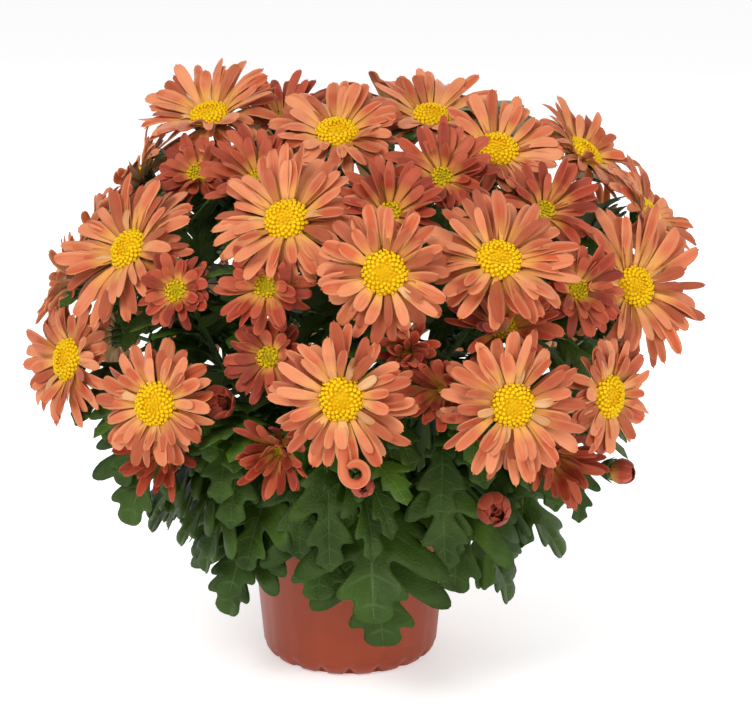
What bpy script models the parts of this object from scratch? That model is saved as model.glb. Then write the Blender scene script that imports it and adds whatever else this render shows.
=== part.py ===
"""A pot chrysanthemum: five leafy cuttings in a pot of soil, their large blooms, and sprays of side blooms.

The pot stands on z = 0 with its axis on the origin. The front, which the finest blooms face, is towards -Y.
Lengths are metres; MM turns millimetres into them. A turn is degrees from the front towards +X, a lift is
degrees above the horizontal.
"""

import itertools
import math
import random

import bmesh
import bpy
from mathutils import Quaternion, Vector
from mathutils.bvhtree import BVHTree

MM = 0.001
GAP = 0.3 * MM  # left between two pieces that touch
FLAT_ANGLE = math.radians(0.4)

# Pot and soil
POT_SIDES = 18
POT_RIM_RADIUS = 61.5 * MM
POT_RIM_DEPTH = 9 * MM
POT_HEIGHT = 106 * MM
POT_SHOULDER_RADIUS = 58.5 * MM
POT_FOOT_RADIUS = 50.5 * MM
POT_BASE_RADIUS = 43 * MM
POT_CORNER_HEIGHT = 9 * MM
POT_WALL = 1.8 * MM
POT_FLOOR = 2.5 * MM
POT_LIP_DROP = 3 * MM  # from the top of the rim to where the wall's inner side starts
FOOT_NOTCH_RISE = 2.4 * MM
DRAIN_HOLES = 4
DRAIN_RADIUS = 4 * MM
DRAIN_CIRCLE_RADIUS = 31 * MM
SOIL_SIDES = 15
SOIL_HEIGHT = 94 * MM
SOIL_RELIEF = 1.5 * MM

# Cuttings: the turn of each stem's place round the pot
CUTTING_TURNS = (-42, 38, 112, 180, 248)
STEM_CIRCLE_RADIUS = 24 * MM
STEM_RADIUS = 3.0 * MM
STEM_TOP_RADIUS = 2.3 * MM
STEM_LEAN = 13 * MM
STEM_RISE = 60 * MM
STEM_SIDES = 5
HOLE_SIDES = 5
HOLE_RADIUS = 4.0 * MM
HOLE_DEPTH = 28 * MM

# Stalks. The arms are the shares of a stalk's run over which it keeps its first and its last direction.
BRANCH_SIDES = 4
BRANCH_RADIUS = 1.9 * MM
STALK_RADIUS = 1.3 * MM
BRANCH_PLACES = (0.38, 0.96)  # where the lowest and the highest branch leave, as shares of STEM_RISE
BRANCH_CLIMB = 1.1
SPRAY_CLIMB = 0.9
STALK_ARMS = (0.36, 0.34)
CALYX_HEIGHT = 8 * MM
CALYX_WAIST = 0.45
CALYX_WIDTH = 0.72  # of the head's core
SIDE_CALYX_HEIGHT = 0.35  # of a calyx's full height, on the heads of sprays
SIDE_CALYX_WIDTH = 0.7

# How a head's parts measure at each stage of its opening. Rows holds how many rays stand in each of its
# two rows; cup is the rays' slope, in degrees, where they leave the head and at their tips; knee is the
# share of a ray's length at which it is widest, and tip its width at the end as a share of that.
STAGES = {
    "open": dict(core=10.5 * MM, inner=10.5 * MM, band=2.4 * MM, rows=9, cup=(20, -4), ray=8.4 * MM,
                 knee=0.58, tip=0.55, dome=5.0 * MM),
    "full": dict(core=9.0 * MM, inner=9.0 * MM, band=2.4 * MM, rows=8, cup=(22, -4), ray=9.0 * MM,
                 knee=0.62, tip=0, dome=4.0 * MM),
    "half": dict(core=7.0 * MM, inner=6.4 * MM, band=2.4 * MM, rows=6, cup=(38, 14), ray=8.4 * MM,
                 knee=0.62, tip=0, dome=3.0 * MM),
    "young": dict(core=5.6 * MM, inner=4.0 * MM, band=2.2 * MM, rows=6, cup=(52, 66), ray=5.6 * MM,
                  knee=0, tip=0.9, dome=2.0 * MM),
    "bud": dict(core=6.0 * MM, inner=4.0 * MM, band=7.0 * MM, rows=6, cup=(0, 0), ray=0,
                knee=0, tip=0, dome=0),
}
RAY_THICKNESS = 0.8 * MM
RAY_STEPS = 12
UPPER_ROW_REACH = 0.94
UPPER_ROW_LIFT = 4
DISC_SIDES = 8
DISC_SHOULDER = (0.62, 0.78)  # shares of the disc's radius and height at which its ring of florets stands
FLORET_RELIEF = (-0.3 * MM, 0.5 * MM)
BUD_RINGS = ((1.0, 0.55), (0.86, 1.0), (0.5, 0.86))  # radius and height as shares of half a bud's width
BUD_HOLLOW = 0.4
BUD_WAVE = 0.9 * MM
RAY_PAINT, STALK_PAINT, DISC_PAINT = 0, 1, 2  # the order of a spray's materials

# Large blooms, one on each branch: cutting, across, depth (front is negative) and height of the head's
# foot in millimetres, turn and lift of its face, width, stage
BLOOMS = {
    "bloom_01": (0, -77, 14, 307, -24, 62, 80, "open"),
    "bloom_02": (0, -6, -34, 305, 0, 58, 70, "open"),
    "bloom_03": (2, 46, 20, 305, 14, 64, 74, "open"),
    "bloom_04": (1, 80, -32, 296, 6, 50, 70, "open"),
    "bloom_05": (2, 131, 32, 283, 62, 50, 72, "open"),
    "bloom_06": (2, 163, -10, 256, 76, 36, 70, "open"),
    "bloom_07": (0, -30, -103, 273, -14, 38, 78, "open"),
    "bloom_08": (4, -114, -64, 249, -44, 34, 86, "open"),
    "bloom_09": (0, -40, -118, 243, -8, 18, 50, "half"),
    "bloom_10": (1, 22, -92, 274, 2, 46, 56, "half"),
    "bloom_11": (0, 19, -134, 254, 2, 14, 68, "open"),
    "bloom_12": (1, 77, -114, 254, 8, 46, 80, "open"),
    "bloom_13": (2, 151, -62, 229, 34, 24, 88, "open"),
    "bloom_14": (4, -150, -46, 185, -48, 16, 68, "open"),
    "bloom_15": (0, -97, -118, 181, -24, 14, 66, "open"),
    "bloom_16": (0, -2, -156, 195, -4, 8, 74, "open"),
    "bloom_17": (1, 83, -140, 187, 12, 8, 78, "open"),
    "bloom_18": (1, 134, -99, 180, 46, 8, 60, "open"),
}

# Side sprays: the cutting and the height of the spray's foot above the soil, then its heads as above
SPRAYS = {
    "spray_01": (4, 50, ((-80, -28, 283, -20, 40, 44, "half"), (-46, -56, 285, -12, 50, 56, "half"),
                         (-38, 30, 301, 10, 70, 56, "half"))),
    "spray_02": (4, 42, ((-114, 2, 273, -100, 30, 72, "full"), (-148, -18, 222, -92, 22, 60, "half"))),
    "spray_03": (0, 34, ((-87, -100, 236, -14, 24, 40, "half"), (-70, -112, 181, 28, 10, 22, "bud"),
                         (-94, -90, 151, -18, -4, 40, "young"))),
    "spray_04": (0, 26, ((-38, -122, 207, -24, 16, 46, "half"), (-34, -128, 160, -8, 2, 38, "young"),
                         (8, -148, 148, 4, 0, 15, "bud"))),
    "spray_05": (1, 26, ((50, -124, 190, -12, 12, 38, "young"), (30, -127, 210, 4, 14, 31, "young"),
                         (76, -108, 123, 4, 4, 23, "bud"))),
    "spray_06": (1, 50, ((50, -62, 287, -4, 40, 56, "half"), (103, -56, 268, 20, 38, 58, "half"),
                         (80, -112, 219, 6, 40, 58, "half"))),
    "spray_07": (1, 34, ((118, -88, 234, 28, 24, 50, "half"), (106, -94, 147, 26, -4, 40, "young"),
                         (143, -64, 128, 62, 0, 18, "bud"))),
    "spray_08": (3, 52, ((24, 58, 302, 168, 72, 70, "full"), (82, 74, 283, 130, 52, 72, "full"),
                         (-36, 88, 285, 205, 54, 74, "full"))),
    "spray_09": (2, 40, ((146, 62, 232, 112, 26, 74, "full"), (100, 120, 234, 145, 26, 76, "full"))),
    "spray_10": (3, 36, ((18, 148, 232, 178, 24, 76, "full"), (-60, 130, 237, 206, 28, 74, "full"),
                         (-18, 118, 270, 190, 48, 50, "half"))),
    "spray_11": (4, 34, ((-118, 82, 235, 236, 28, 76, "full"), (-142, 28, 236, 264, 24, 66, "full"))),
    "spray_12": (2, 22, ((150, 40, 176, 100, 6, 64, "full"), (124, 98, 170, 130, 6, 66, "full"))),
    "spray_13": (3, 22, ((62, 140, 168, 158, 6, 70, "full"), (-20, 150, 166, 188, 6, 72, "full"))),
    "spray_14": (4, 20, ((-92, 116, 172, 220, 6, 70, "full"), (-136, 58, 174, 248, 8, 66, "full"))),
}

# Half outlines of a leaf's blade from its foot to its tip, as shares of the blade's length: along, across
LARGE_LEAF = ((0.0, 0.03), (0.12, 0.12), (0.22, 0.34), (0.43, 0.43), (0.38, 0.15),
              (0.53, 0.31), (0.76, 0.38), (0.69, 0.13), (0.87, 0.14))
SMALL_LEAF = ((0.0, 0.035), (0.20, 0.14), (0.54, 0.38), (0.55, 0.14), (0.80, 0.16))
# Points on the midrib, from which the side lobes spread
LARGE_RIB = (0.24, 0.58)
SMALL_RIB = (0.32, 0.66)
LEAF_THICKNESS = 1.2 * MM
PETIOLE_RADIUS = 1.2 * MM
PETIOLE_SHARE = 0.22
PETIOLE_DEPTH = 1.4  # of its half width
LEAF_FOLD = math.radians(14)
LARGE_FROM = 84 * MM  # leaves at least this long have the large outline
# A leaf leaves its stem steeper than the straight way to its tip by LEAF_ARCH, and arrives flatter by
# LEAF_DROOP, both in degrees and within these limits. Its arms are as a stalk's.
LEAF_ARCH = 65
LEAF_LIFTS = (42, 60)
LEAF_DROOP = 35
LEAF_STEEPEST = -88
LEAF_ARMS = (0.42, 0.38)

# Leaves of the skirt, which hang round the pot: cutting, height of the foot above the soil, then where
# the tip hangs: across, depth and height in millimetres
SKIRT = (
    (1, 22, 19, -88, 35), (0, 20, -66, -70, 46), (1, 32, 68, -80, 46), (1, 24, 98, -82, 62),
    (0, 26, -84, -58, 66), (0, 30, -26, -90, 60), (1, 30, 118, -58, 76), (0, 34, -110, -50, 88),
    (0, 42, -58, -96, 84), (1, 44, 44, -100, 76), (2, 18, 92, -18, 54), (2, 24, 106, 24, 66),
    (2, 20, 76, 62, 50), (2, 34, 124, 52, 92), (3, 18, 34, 88, 44), (3, 22, -34, 90, 48),
    (3, 32, 4, 108, 74), (3, 44, 56, 116, 104), (3, 46, -50, 122, 106), (4, 18, -74, 52, 48),
    (4, 22, -94, -6, 56), (4, 30, -108, 40, 76), (4, 34, -124, 8, 92),
)
# Leaves of the crown that show between the blooms: the bloom whose branch bears each one, how far up the
# branch, then where its tip is, as above
CROWN = (
    ("bloom_16", 0.40, -8, -124, 106), ("bloom_17", 0.40, 52, -122, 112), ("bloom_15", 0.44, -62, -104, 108),
    ("bloom_18", 0.42, 116, -88, 108), ("bloom_17", 0.52, 90, -114, 130), ("bloom_15", 0.56, -108, -90, 118),
    ("bloom_16", 0.56, -52, -124, 144), ("bloom_16", 0.62, 34, -134, 150), ("bloom_14", 0.44, -124, -56, 116),
    ("bloom_14", 0.58, -148, -66, 148), ("bloom_18", 0.60, 154, -66, 144), ("bloom_15", 0.66, -60, -112, 180),
    ("bloom_08", 0.62, -120, -66, 203), ("bloom_08", 0.74, -162, -34, 226), ("bloom_13", 0.62, 168, -58, 204),
    ("bloom_07", 0.66, -16, -112, 230), ("bloom_11", 0.70, 48, -116, 240), ("bloom_12", 0.72, 62, -100, 284),
    ("bloom_13", 0.74, 128, -90, 250), ("bloom_04", 0.78, 66, -60, 290), ("bloom_06", 0.76, 150, -28, 272),
    ("bloom_01", 0.72, -118, -8, 288), ("bloom_02", 0.80, -40, -44, 298), ("bloom_07", 0.50, -78, -92, 214),
    ("bloom_11", 0.50, -4, -104, 176), ("bloom_17", 0.66, 56, -122, 170),
)
# Leaves inside the crown: on every second branch, and in pairs on the stalks of the sprays of the back
INNER_SHARE = 0.52
INNER_LENGTH = 58 * MM
INNER_LIFT = -5
SPRAY_LEAF_LIFT = 12
GOLDEN_ANGLE = 137.5
LEAFY_SPRAYS = ("spray_08", "spray_09", "spray_10", "spray_11", "spray_12", "spray_13", "spray_14")
SPRAY_LEAVES = ((0.62, -42), (0.86, 38))  # how far up the stalk, and the turn from the way the stalk leans

# What a ray, a leaf or a stalk tries in turn until it is clear of what stands there: degrees of slope and
# shares of length for a ray, degrees of turn and millimetres of height at the tip for a leaf, millimetres
# of sideways bulge for a stalk, and for a spray's stalk also millimetres of height at its foot and how far
# out it forks
RAY_BENDS = (0, 8, 16, 24, 34, 46)
RAY_REACHES = (1.0, 0.8, 0.6, 0.4, 0.25)
LEAF_REACHES = (1.0, 0.85, 0.7)
LEAF_SHIFTS = (
    (0, 0), (0, 8), (0, -8), (10, 0), (-10, 0), (0, 16), (0, -16), (18, 4), (-18, 4), (10, 14), (-10, 14),
    (28, 0), (-28, 0), (0, 28), (20, 22), (-20, 22), (40, 8), (-40, 8), (14, -24), (-14, -24),
    (55, 0), (-55, 0),
)
STALK_BULGES = (0, 6, -6, 12, -12, 20, -20, 30, -30, 42, -42)
FOOT_SHIFTS = (0, -6, 6, -12, 12)
FORK_SHARES = (0.5, 0.42, 0.6)


def heading(turn, lift):
    """The unit vector at this turn and lift, in degrees."""
    turn, lift = math.radians(turn), math.radians(lift)
    return Vector((math.sin(turn) * math.cos(lift), -math.cos(turn) * math.cos(lift), math.sin(lift)))


def clear_scene():
    for thing in list(bpy.data.objects):
        bpy.data.objects.remove(thing, do_unlink=True)


def material(name, colour, roughness, metallic=0.0):
    made = bpy.data.materials.new(name)
    made.use_nodes = True
    shader = made.node_tree.nodes["Principled BSDF"]
    shader.inputs["Base Color"].default_value = (*colour, 1.0)
    shader.inputs["Roughness"].default_value = roughness
    shader.inputs["Metallic"].default_value = metallic
    return made


class Shell:
    """The points and triangles of one closed surface as it is drawn, ring by ring."""

    def __init__(self):
        self.points = []
        self.faces = []
        self.paints = []  # (first face, number of its material)

    def paint(self, number):
        """The faces drawn from here on take this one of the object's materials."""
        self.paints.append((len(self.faces), number))

    def paint_all(self, number):
        self.paints = [(0, number)]

    def ring(self, points):
        first = len(self.points)
        self.points.extend(points)
        return list(range(first, len(self.points)))

    def band(self, low, high):
        """Two rings of the same count joined by triangles."""
        for i in range(len(low)):
            j = (i + 1) % len(low)
            self.faces += [(low[i], low[j], high[j]), (low[i], high[j], high[i])]

    def doubling_band(self, low, high):
        """A ring joined to one of twice its count."""
        for i in range(len(low)):
            j = (i + 1) % len(low)
            a, b, c = high[2 * i], high[2 * i + 1], high[(2 * i + 2) % len(high)]
            self.faces += [(low[i], b, a), (low[i], low[j], b), (low[j], c, b)]

    def fan(self, ring, tip):
        for i in range(len(ring)):
            self.faces.append((ring[i], ring[(i + 1) % len(ring)], tip))

    def cap(self, ring):
        """A flat end, with no point of its own."""
        for i in range(1, len(ring) - 1):
            self.faces.append((ring[0], ring[i], ring[i + 1]))

    def object(self, name, *materials, smooth=False):
        mesh = bpy.data.meshes.new(name)
        mesh.from_pydata([tuple(p) for p in self.points], [], self.faces)
        for paint in materials:
            mesh.materials.append(paint)
        for first, number in self.paints:
            for polygon in mesh.polygons[first:]:
                polygon.material_index = number
        made = bmesh.new()
        made.from_mesh(mesh)
        bmesh.ops.recalc_face_normals(made, faces=made.faces)
        if made.calc_volume(signed=True) < 0:
            bmesh.ops.reverse_faces(made, faces=made.faces)
        made.to_mesh(mesh)
        made.free()
        if smooth:
            mesh.shade_smooth()
            mesh.set_sharp_from_angle(angle=math.radians(40))
        thing = bpy.data.objects.new(name, mesh)
        bpy.context.scene.collection.objects.link(thing)
        return thing


class Space:
    """What stands where, so that a new piece can be bent clear of the pieces of the other nodes."""

    def __init__(self):
        self.trees = []

    def tree(self, shell):
        return BVHTree.FromPolygons(shell.points, shell.faces, all_triangles=True, epsilon=GAP)

    def add(self, name, shell):
        self.trees.append((name, self.tree(shell)))

    def meets(self, shell, besides=()):
        """How many standing pieces the shell touches, leaving out those of the names given."""
        tree = self.tree(shell)
        return sum(1 for name, other in self.trees if name not in besides and other.overlap(tree))


def joined(name, shells, *materials):
    """One object of these shells, the first of which the others grow from."""
    body = shells[0].object(name, *materials)
    if len(shells) == 1:
        return body
    others = bpy.data.collections.new(name + "_pieces")
    bpy.context.scene.collection.children.link(others)
    for number, shell in enumerate(shells[1:]):
        piece = shell.object(f"{name}_piece_{number}", *materials)
        bpy.context.scene.collection.objects.unlink(piece)
        others.objects.link(piece)
    union = body.modifiers.new("union", "BOOLEAN")
    union.operation = "UNION"
    union.operand_type = "COLLECTION"
    union.collection = others
    apply_modifiers(body)
    merge_flat_faces(body)
    for piece in list(others.objects):
        bpy.data.objects.remove(piece, do_unlink=True)
    bpy.data.collections.remove(others)
    return body


def apply_modifiers(thing):
    graph = bpy.context.evaluated_depsgraph_get()
    mesh = bpy.data.meshes.new_from_object(thing.evaluated_get(graph))
    thing.modifiers.clear()
    thing.data = mesh


def merge_flat_faces(thing):
    """Takes out the edges that a union leaves across faces that are flat."""
    mesh = bmesh.new()
    mesh.from_mesh(thing.data)
    bmesh.ops.dissolve_limit(
        mesh, angle_limit=FLAT_ANGLE, verts=mesh.verts, edges=mesh.edges, delimit={"MATERIAL"})
    bmesh.ops.triangulate(mesh, faces=mesh.faces)
    mesh.to_mesh(thing.data)
    mesh.free()


def cut_away(thing, shells):
    """Cuts each shell out of the thing."""
    for number, shell in enumerate(shells):
        cutter = shell.object(f"cutter_{number}", thing.data.materials[0])
        cut = thing.modifiers.new("cut", "BOOLEAN")
        cut.operation = "DIFFERENCE"
        cut.solver = "EXACT"
        cut.object = cutter
        apply_modifiers(thing)
        bpy.data.objects.remove(cutter, do_unlink=True)


def lathed(profile, sides, shift=None):
    """A shell turned round the Z axis from (radius, height) points that start and end on the axis."""
    shell = Shell()
    rings = []
    for number, (radius, height) in enumerate(profile[1:-1]):
        points = []
        for i in range(sides):
            angle = 2 * math.pi * i / sides
            rise = shift(number, angle, i) if shift else 0.0
            points.append(Vector((radius * math.sin(angle), -radius * math.cos(angle), height + rise)))
        rings.append(shell.ring(points))
    for low, high in zip(rings, rings[1:]):
        shell.band(low, high)
    for ring, (_, height) in ((rings[0], profile[0]), (rings[-1], profile[-1])):
        shell.fan(ring, shell.ring([Vector((0, 0, height))])[0])
    return shell


def post(centre, radius, low, high, sides):
    """An upright prism."""
    shell = Shell()
    rings = []
    for height in (low, high):
        points = [
            Vector((
                centre.x + radius * math.cos(2 * math.pi * i / sides),
                centre.y + radius * math.sin(2 * math.pi * i / sides),
                height,
            ))
            for i in range(sides)
        ]
        rings.append(shell.ring(points))
    shell.band(*rings)
    for ring in rings:
        shell.cap(ring)
    return shell


def pot(paint):
    """A moulded pot with a rolled rim, a foot notched for drainage and holes in its floor."""
    wall_run = POT_HEIGHT - POT_RIM_DEPTH - POT_CORNER_HEIGHT
    profile = (
        (0, 0),
        (POT_BASE_RADIUS, 0),
        (POT_FOOT_RADIUS - 2 * MM, POT_CORNER_HEIGHT * 0.3),
        (POT_FOOT_RADIUS, POT_CORNER_HEIGHT),
        (POT_SHOULDER_RADIUS, POT_CORNER_HEIGHT + wall_run),
        (POT_RIM_RADIUS, POT_HEIGHT - POT_RIM_DEPTH + 1 * MM),
        (POT_RIM_RADIUS, POT_HEIGHT - 1 * MM),
        (POT_RIM_RADIUS - 2 * MM, POT_HEIGHT),
        (POT_SHOULDER_RADIUS - POT_WALL, POT_HEIGHT - POT_LIP_DROP),
        (POT_FOOT_RADIUS - POT_WALL, POT_CORNER_HEIGHT),
        (POT_BASE_RADIUS - POT_WALL, POT_FLOOR),
        (0, POT_FLOOR),
    )

    def notches(ring, angle, i):
        return FOOT_NOTCH_RISE if ring == 1 and i % 2 else 0.0

    body = lathed(profile, POT_SIDES, notches).object("pot", paint, smooth=True)
    holes = []
    for i in range(DRAIN_HOLES):
        angle = 2 * math.pi * (i + 0.5) / DRAIN_HOLES
        centre = DRAIN_CIRCLE_RADIUS * Vector((math.sin(angle), -math.cos(angle), 0))
        holes.append(post(centre, DRAIN_RADIUS, -5 * MM, POT_FLOOR + 5 * MM, 6))
    cut_away(body, holes)
    return body


def pot_space():
    """The room that the filled pot takes, as a shell to test."""
    return lathed((
        (0, 0),
        (POT_BASE_RADIUS, 0),
        (POT_FOOT_RADIUS, POT_CORNER_HEIGHT),
        (POT_RIM_RADIUS, POT_HEIGHT - POT_RIM_DEPTH),
        (POT_RIM_RADIUS, POT_HEIGHT),
        (POT_SHOULDER_RADIUS - POT_WALL, POT_HEIGHT),
        (POT_SHOULDER_RADIUS - 2 * POT_WALL, SOIL_HEIGHT + SOIL_RELIEF),
        (0, SOIL_HEIGHT + 2 * MM),
    ), POT_SIDES)


def inner_radius(height):
    """The pot's inner radius at this height, on its long wall."""
    share = (height - POT_CORNER_HEIGHT) / (POT_HEIGHT - POT_LIP_DROP - POT_CORNER_HEIGHT)
    return POT_FOOT_RADIUS - POT_WALL + share * (POT_SHOULDER_RADIUS - POT_FOOT_RADIUS)


def soil_profile():
    flat = math.cos(math.pi / POT_SIDES)  # a side's middle lies this share of the radius from the axis
    return (
        (0, POT_FLOOR + GAP),
        ((POT_BASE_RADIUS - POT_WALL) * flat - 2 * GAP, POT_FLOOR + GAP),
        (inner_radius(POT_CORNER_HEIGHT) * flat - 2 * GAP, POT_CORNER_HEIGHT + GAP),
        (inner_radius(SOIL_HEIGHT - 3 * MM) * flat - 2 * GAP, SOIL_HEIGHT - 3 * MM),
        (inner_radius(SOIL_HEIGHT) * flat * 0.88, SOIL_HEIGHT),
        (STEM_CIRCLE_RADIUS * 0.5, SOIL_HEIGHT + 1 * MM),
        (0, SOIL_HEIGHT + 2 * MM),
    )


def soil(paint):
    """Peat that fills the pot, with a lumpy top and a hole for each stem."""

    def lumps(ring, angle, i):
        return SOIL_RELIEF * math.sin(5 * angle + 2 * ring) if ring >= 3 else 0.0

    body = lathed(soil_profile(), SOIL_SIDES, lumps).object("soil", paint)
    cut_away(body, [
        post(stem_place(turn), HOLE_RADIUS, SOIL_HEIGHT - HOLE_DEPTH, SOIL_HEIGHT + 20 * MM, HOLE_SIDES)
        for turn in CUTTING_TURNS
    ])
    return body


def stem_place(turn):
    return STEM_CIRCLE_RADIUS * heading(turn, 0)


def stem_point(turn, rise):
    """The middle of a cutting's main stem, this far above the soil."""
    lean = STEM_LEAN * (max(rise, 0) / STEM_RISE) ** 1.5
    return stem_place(turn) + lean * heading(turn, 0) + Vector((0, 0, SOIL_HEIGHT + rise))


def bezier(a, b, c, d, count):
    """Points along a cubic curve, ends included."""
    made = []
    for i in range(count):
        t = i / (count - 1)
        s = 1 - t
        made.append(a * s ** 3 + b * (3 * s * s * t) + c * (3 * s * t * t) + d * t ** 3)
    return made


def frames(path, first):
    """A pair of crosswise unit vectors at each point of the path, turning no more than the path does."""
    made = []
    across = first
    for i, point in enumerate(path):
        before = path[max(i - 1, 0)]
        after = path[min(i + 1, len(path) - 1)]
        along = (after - before).normalized()
        across = (across - across.dot(along) * along).normalized()
        made.append((across, along.cross(across)))
    return made


def tube_rings(shell, path, radii, sides, first):
    rings = []
    angles = [2 * math.pi * i / sides for i in range(sides)]
    for point, radius, (across, other) in zip(path, radii, frames(path, first)):
        rings.append(shell.ring([
            point + radius * (math.cos(angle) * across + math.sin(angle) * other) for angle in angles
        ]))
    for low, high in zip(rings, rings[1:]):
        shell.band(low, high)
    return rings


def tube(path, radii, sides):
    shell = Shell()
    rings = tube_rings(shell, path, radii, sides, (path[1] - path[0]).orthogonal())
    shell.cap(rings[0])
    shell.cap(rings[-1])
    return shell


class Head:
    """One flower head: where it stands, which way it faces, and how its rays and disc are shaped."""

    def __init__(self, name, across, depth, height, turn, lift, width, stage):
        self.name = name
        self.foot = Vector((across, depth, height)) * MM
        self.face = heading(turn, lift)
        self.width = width * MM
        self.is_bud = stage == "bud"
        self.stage = STAGES[stage]
        # heads that face the sky hold their rays higher
        raised = 0.3 * max(lift - 30, 0)
        self.cup = [slope + raised for slope in self.stage["cup"]]
        self.up = (Vector((0, 0, 1)) - self.face.z * self.face).normalized()
        self.side = self.face.cross(self.up)
        self.draw = random.Random(name)
        self.spin = self.draw.uniform(0, 2 * math.pi)

    def at(self, radius, angle, height):
        """A point by its distance from the head's axis, its angle round it and its height over the foot."""
        return self.foot + radius * self.out(angle) + height * self.face

    def out(self, angle):
        return math.cos(angle) * self.up + math.sin(angle) * self.side

    def core_rings(self):
        """The low and the high ring of the band that the rays stand on, half a step apart."""
        count = self.stage["rows"]
        step = 2 * math.pi / count
        core, inner, band = self.stage["core"], self.stage["inner"], self.stage["band"]
        low = [self.at(core, self.spin + i * step, 0) for i in range(count)]
        high = [self.at(inner, self.spin + (i + 0.5) * step, band) for i in range(count)]
        return low, high

    def ray_specs(self):
        """(row, number, angle, length, slope change) of each ray. Row 0 is the low one."""
        count = self.stage["rows"]
        step = 2 * math.pi / count
        made = []
        for row in (0, 1):
            for i in range(count):
                angle = self.spin + (i + 0.5 - 0.5 * row) * step + math.radians(self.draw.uniform(-4, 4))
                length = self.ray_length() * self.draw.uniform(0.92, 1.05) * (UPPER_ROW_REACH if row else 1)
                made.append((row, i, angle, length, self.draw.uniform(-5, 5) + UPPER_ROW_LIFT * row))
        return made

    def ray_length(self):
        """The ray's own length, for a head of this width with its rays cupped as they are."""
        start, end = (math.radians(a) for a in self.cup)
        level = sum(math.cos(start + (end - start) * s) for s in (0.1, 0.3, 0.5, 0.7, 0.9)) / 5
        return (self.width / 2 - self.stage["core"]) / max(level, 0.45)

    def ray(self, row, angle, length, slope):
        """The ring at a ray's knee, flat on one side and ridged on the other, and the points of its tip."""
        start, end = (math.radians(a + slope) for a in self.cup)
        radius = self.stage["core"] if row == 0 else self.stage["inner"]
        height = 0.0 if row == 0 else self.stage["band"]
        sideways = self.face.cross(self.out(angle))
        ridge = RAY_THICKNESS if row == 0 else -RAY_THICKNESS
        half = 0.5 * self.stage["ray"]
        knee = round(self.stage["knee"] * RAY_STEPS)
        ring = []
        for i in range(1, RAY_STEPS + 1):
            lean = start + (end - start) * (i - 0.5) / RAY_STEPS
            radius += math.cos(lean) * length / RAY_STEPS
            height += math.sin(lean) * length / RAY_STEPS
            if i == knee:
                middle = self.at(radius, angle, height)
                normal = math.cos(lean) * self.face - math.sin(lean) * self.out(angle)
                ring = [middle - half * sideways, middle + half * sideways, middle + ridge * normal]
        tip = self.at(radius, angle, height)
        if self.stage["tip"]:
            half *= self.stage["tip"]
            return ring, [tip - half * sideways, tip + half * sideways]
        return ring, [tip]

    def root(self, row, i, low, high):
        """The corners of a ray's root on the band: two at its flat side, one at its ridge."""
        return (low[i], low[(i + 1) % len(low)], high[i]) if row == 0 else (high[i - 1], high[i], low[i])

    def add_ray(self, shell, root, ring, tip):
        if ring:
            knee = shell.ring(ring)
            shell.band(root, knee)
            root = knee
        end = shell.ring(tip)
        if len(end) == 1:
            shell.fan(root, end[0])
        else:
            left, right, ridge = root
            shell.faces += [(left, right, end[1]), (left, end[1], end[0]), (right, ridge, end[1]),
                            (ridge, end[0], end[1]), (ridge, left, end[0])]

    def ray_shell(self, row, i, drawn):
        """One ray, as a shell to test."""
        ring, tip = drawn
        shell = Shell()
        root = shell.ring(self.root(row, i, *self.core_rings()))
        shell.cap(root)
        self.add_ray(shell, root, ring, tip)
        return shell

    def set_rays(self, space):
        """Chooses each ray's slope and reach so that it is clear of what stands there already."""
        self.rays = []
        touching = 0
        for row, number, angle, length, slope in self.ray_specs():
            best = None
            for reach, bend in itertools.product(RAY_REACHES, RAY_BENDS):
                # the low row bends back and the high row bends in, so that the rows never cross
                drawn = self.ray(row, angle, length * reach, slope + (bend if row else -bend))
                hits = space.meets(self.ray_shell(row, number, drawn), (self.name,))
                if best is None or hits < best[0]:
                    best = (hits, drawn)
                if not hits:
                    break
            self.rays.append((row, number, best[1]))
            touching += best[0] > 0
        space.add(self.name, self.rays_shell())
        if touching:
            print(self.name, "leaves", touching, "rays touching")

    def add_rays(self, shell, low, high):
        for row, i, (ring, tip) in self.rays:
            self.add_ray(shell, self.root(row, i, low, high), ring, tip)

    def rays_shell(self):
        """The rays with the button they stand on, of a head whose disc is a piece of its own."""
        shell = Shell()
        low_points, high_points = self.core_rings()
        low, high = shell.ring(low_points), shell.ring(high_points)
        self.add_rays(shell, low, high)
        shell.cap(low)
        shell.cap(high)
        return shell

    def button_shell(self):
        """What the rays stand on, with its dome, as a shell to test."""
        shell = Shell()
        low_points, high_points = self.core_rings()
        low, high = shell.ring(low_points), shell.ring(high_points)
        shell.cap(low)
        shell.band(low, high)
        shell.fan(high, shell.ring([self.at(0, 0, self.stage["band"] + self.stage["dome"])])[0])
        return shell

    def stalk_shell(self, path):
        """A side bloom's stalk and calyx, as a shell to test."""
        calyx = [self.foot - self.face * CALYX_HEIGHT * SIDE_CALYX_HEIGHT, self.foot]
        flat = math.cos(math.pi / BRANCH_SIDES)  # the real stalk has other corners, which this one goes round
        core = self.stage["core"]
        radii = [STALK_RADIUS / flat] * len(path) + [core * SIDE_CALYX_WIDTH, core]
        return tube(path + calyx, radii, BRANCH_SIDES)

    def dome(self, shell, base, radius, foot, height, spin):
        """The domed disc of florets over a ring, raised and sunk in turn."""
        count = len(base)
        step = 2 * math.pi / count
        share, rise = DISC_SHOULDER
        points = [
            self.at(radius * share, spin + i * step, foot + height * rise + FLORET_RELIEF[i % 2])
            for i in range(count)
        ]
        ring = shell.ring(points)
        shell.band(base, ring)
        shell.fan(ring, shell.ring([self.at(0, 0, foot + height)])[0])

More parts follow.
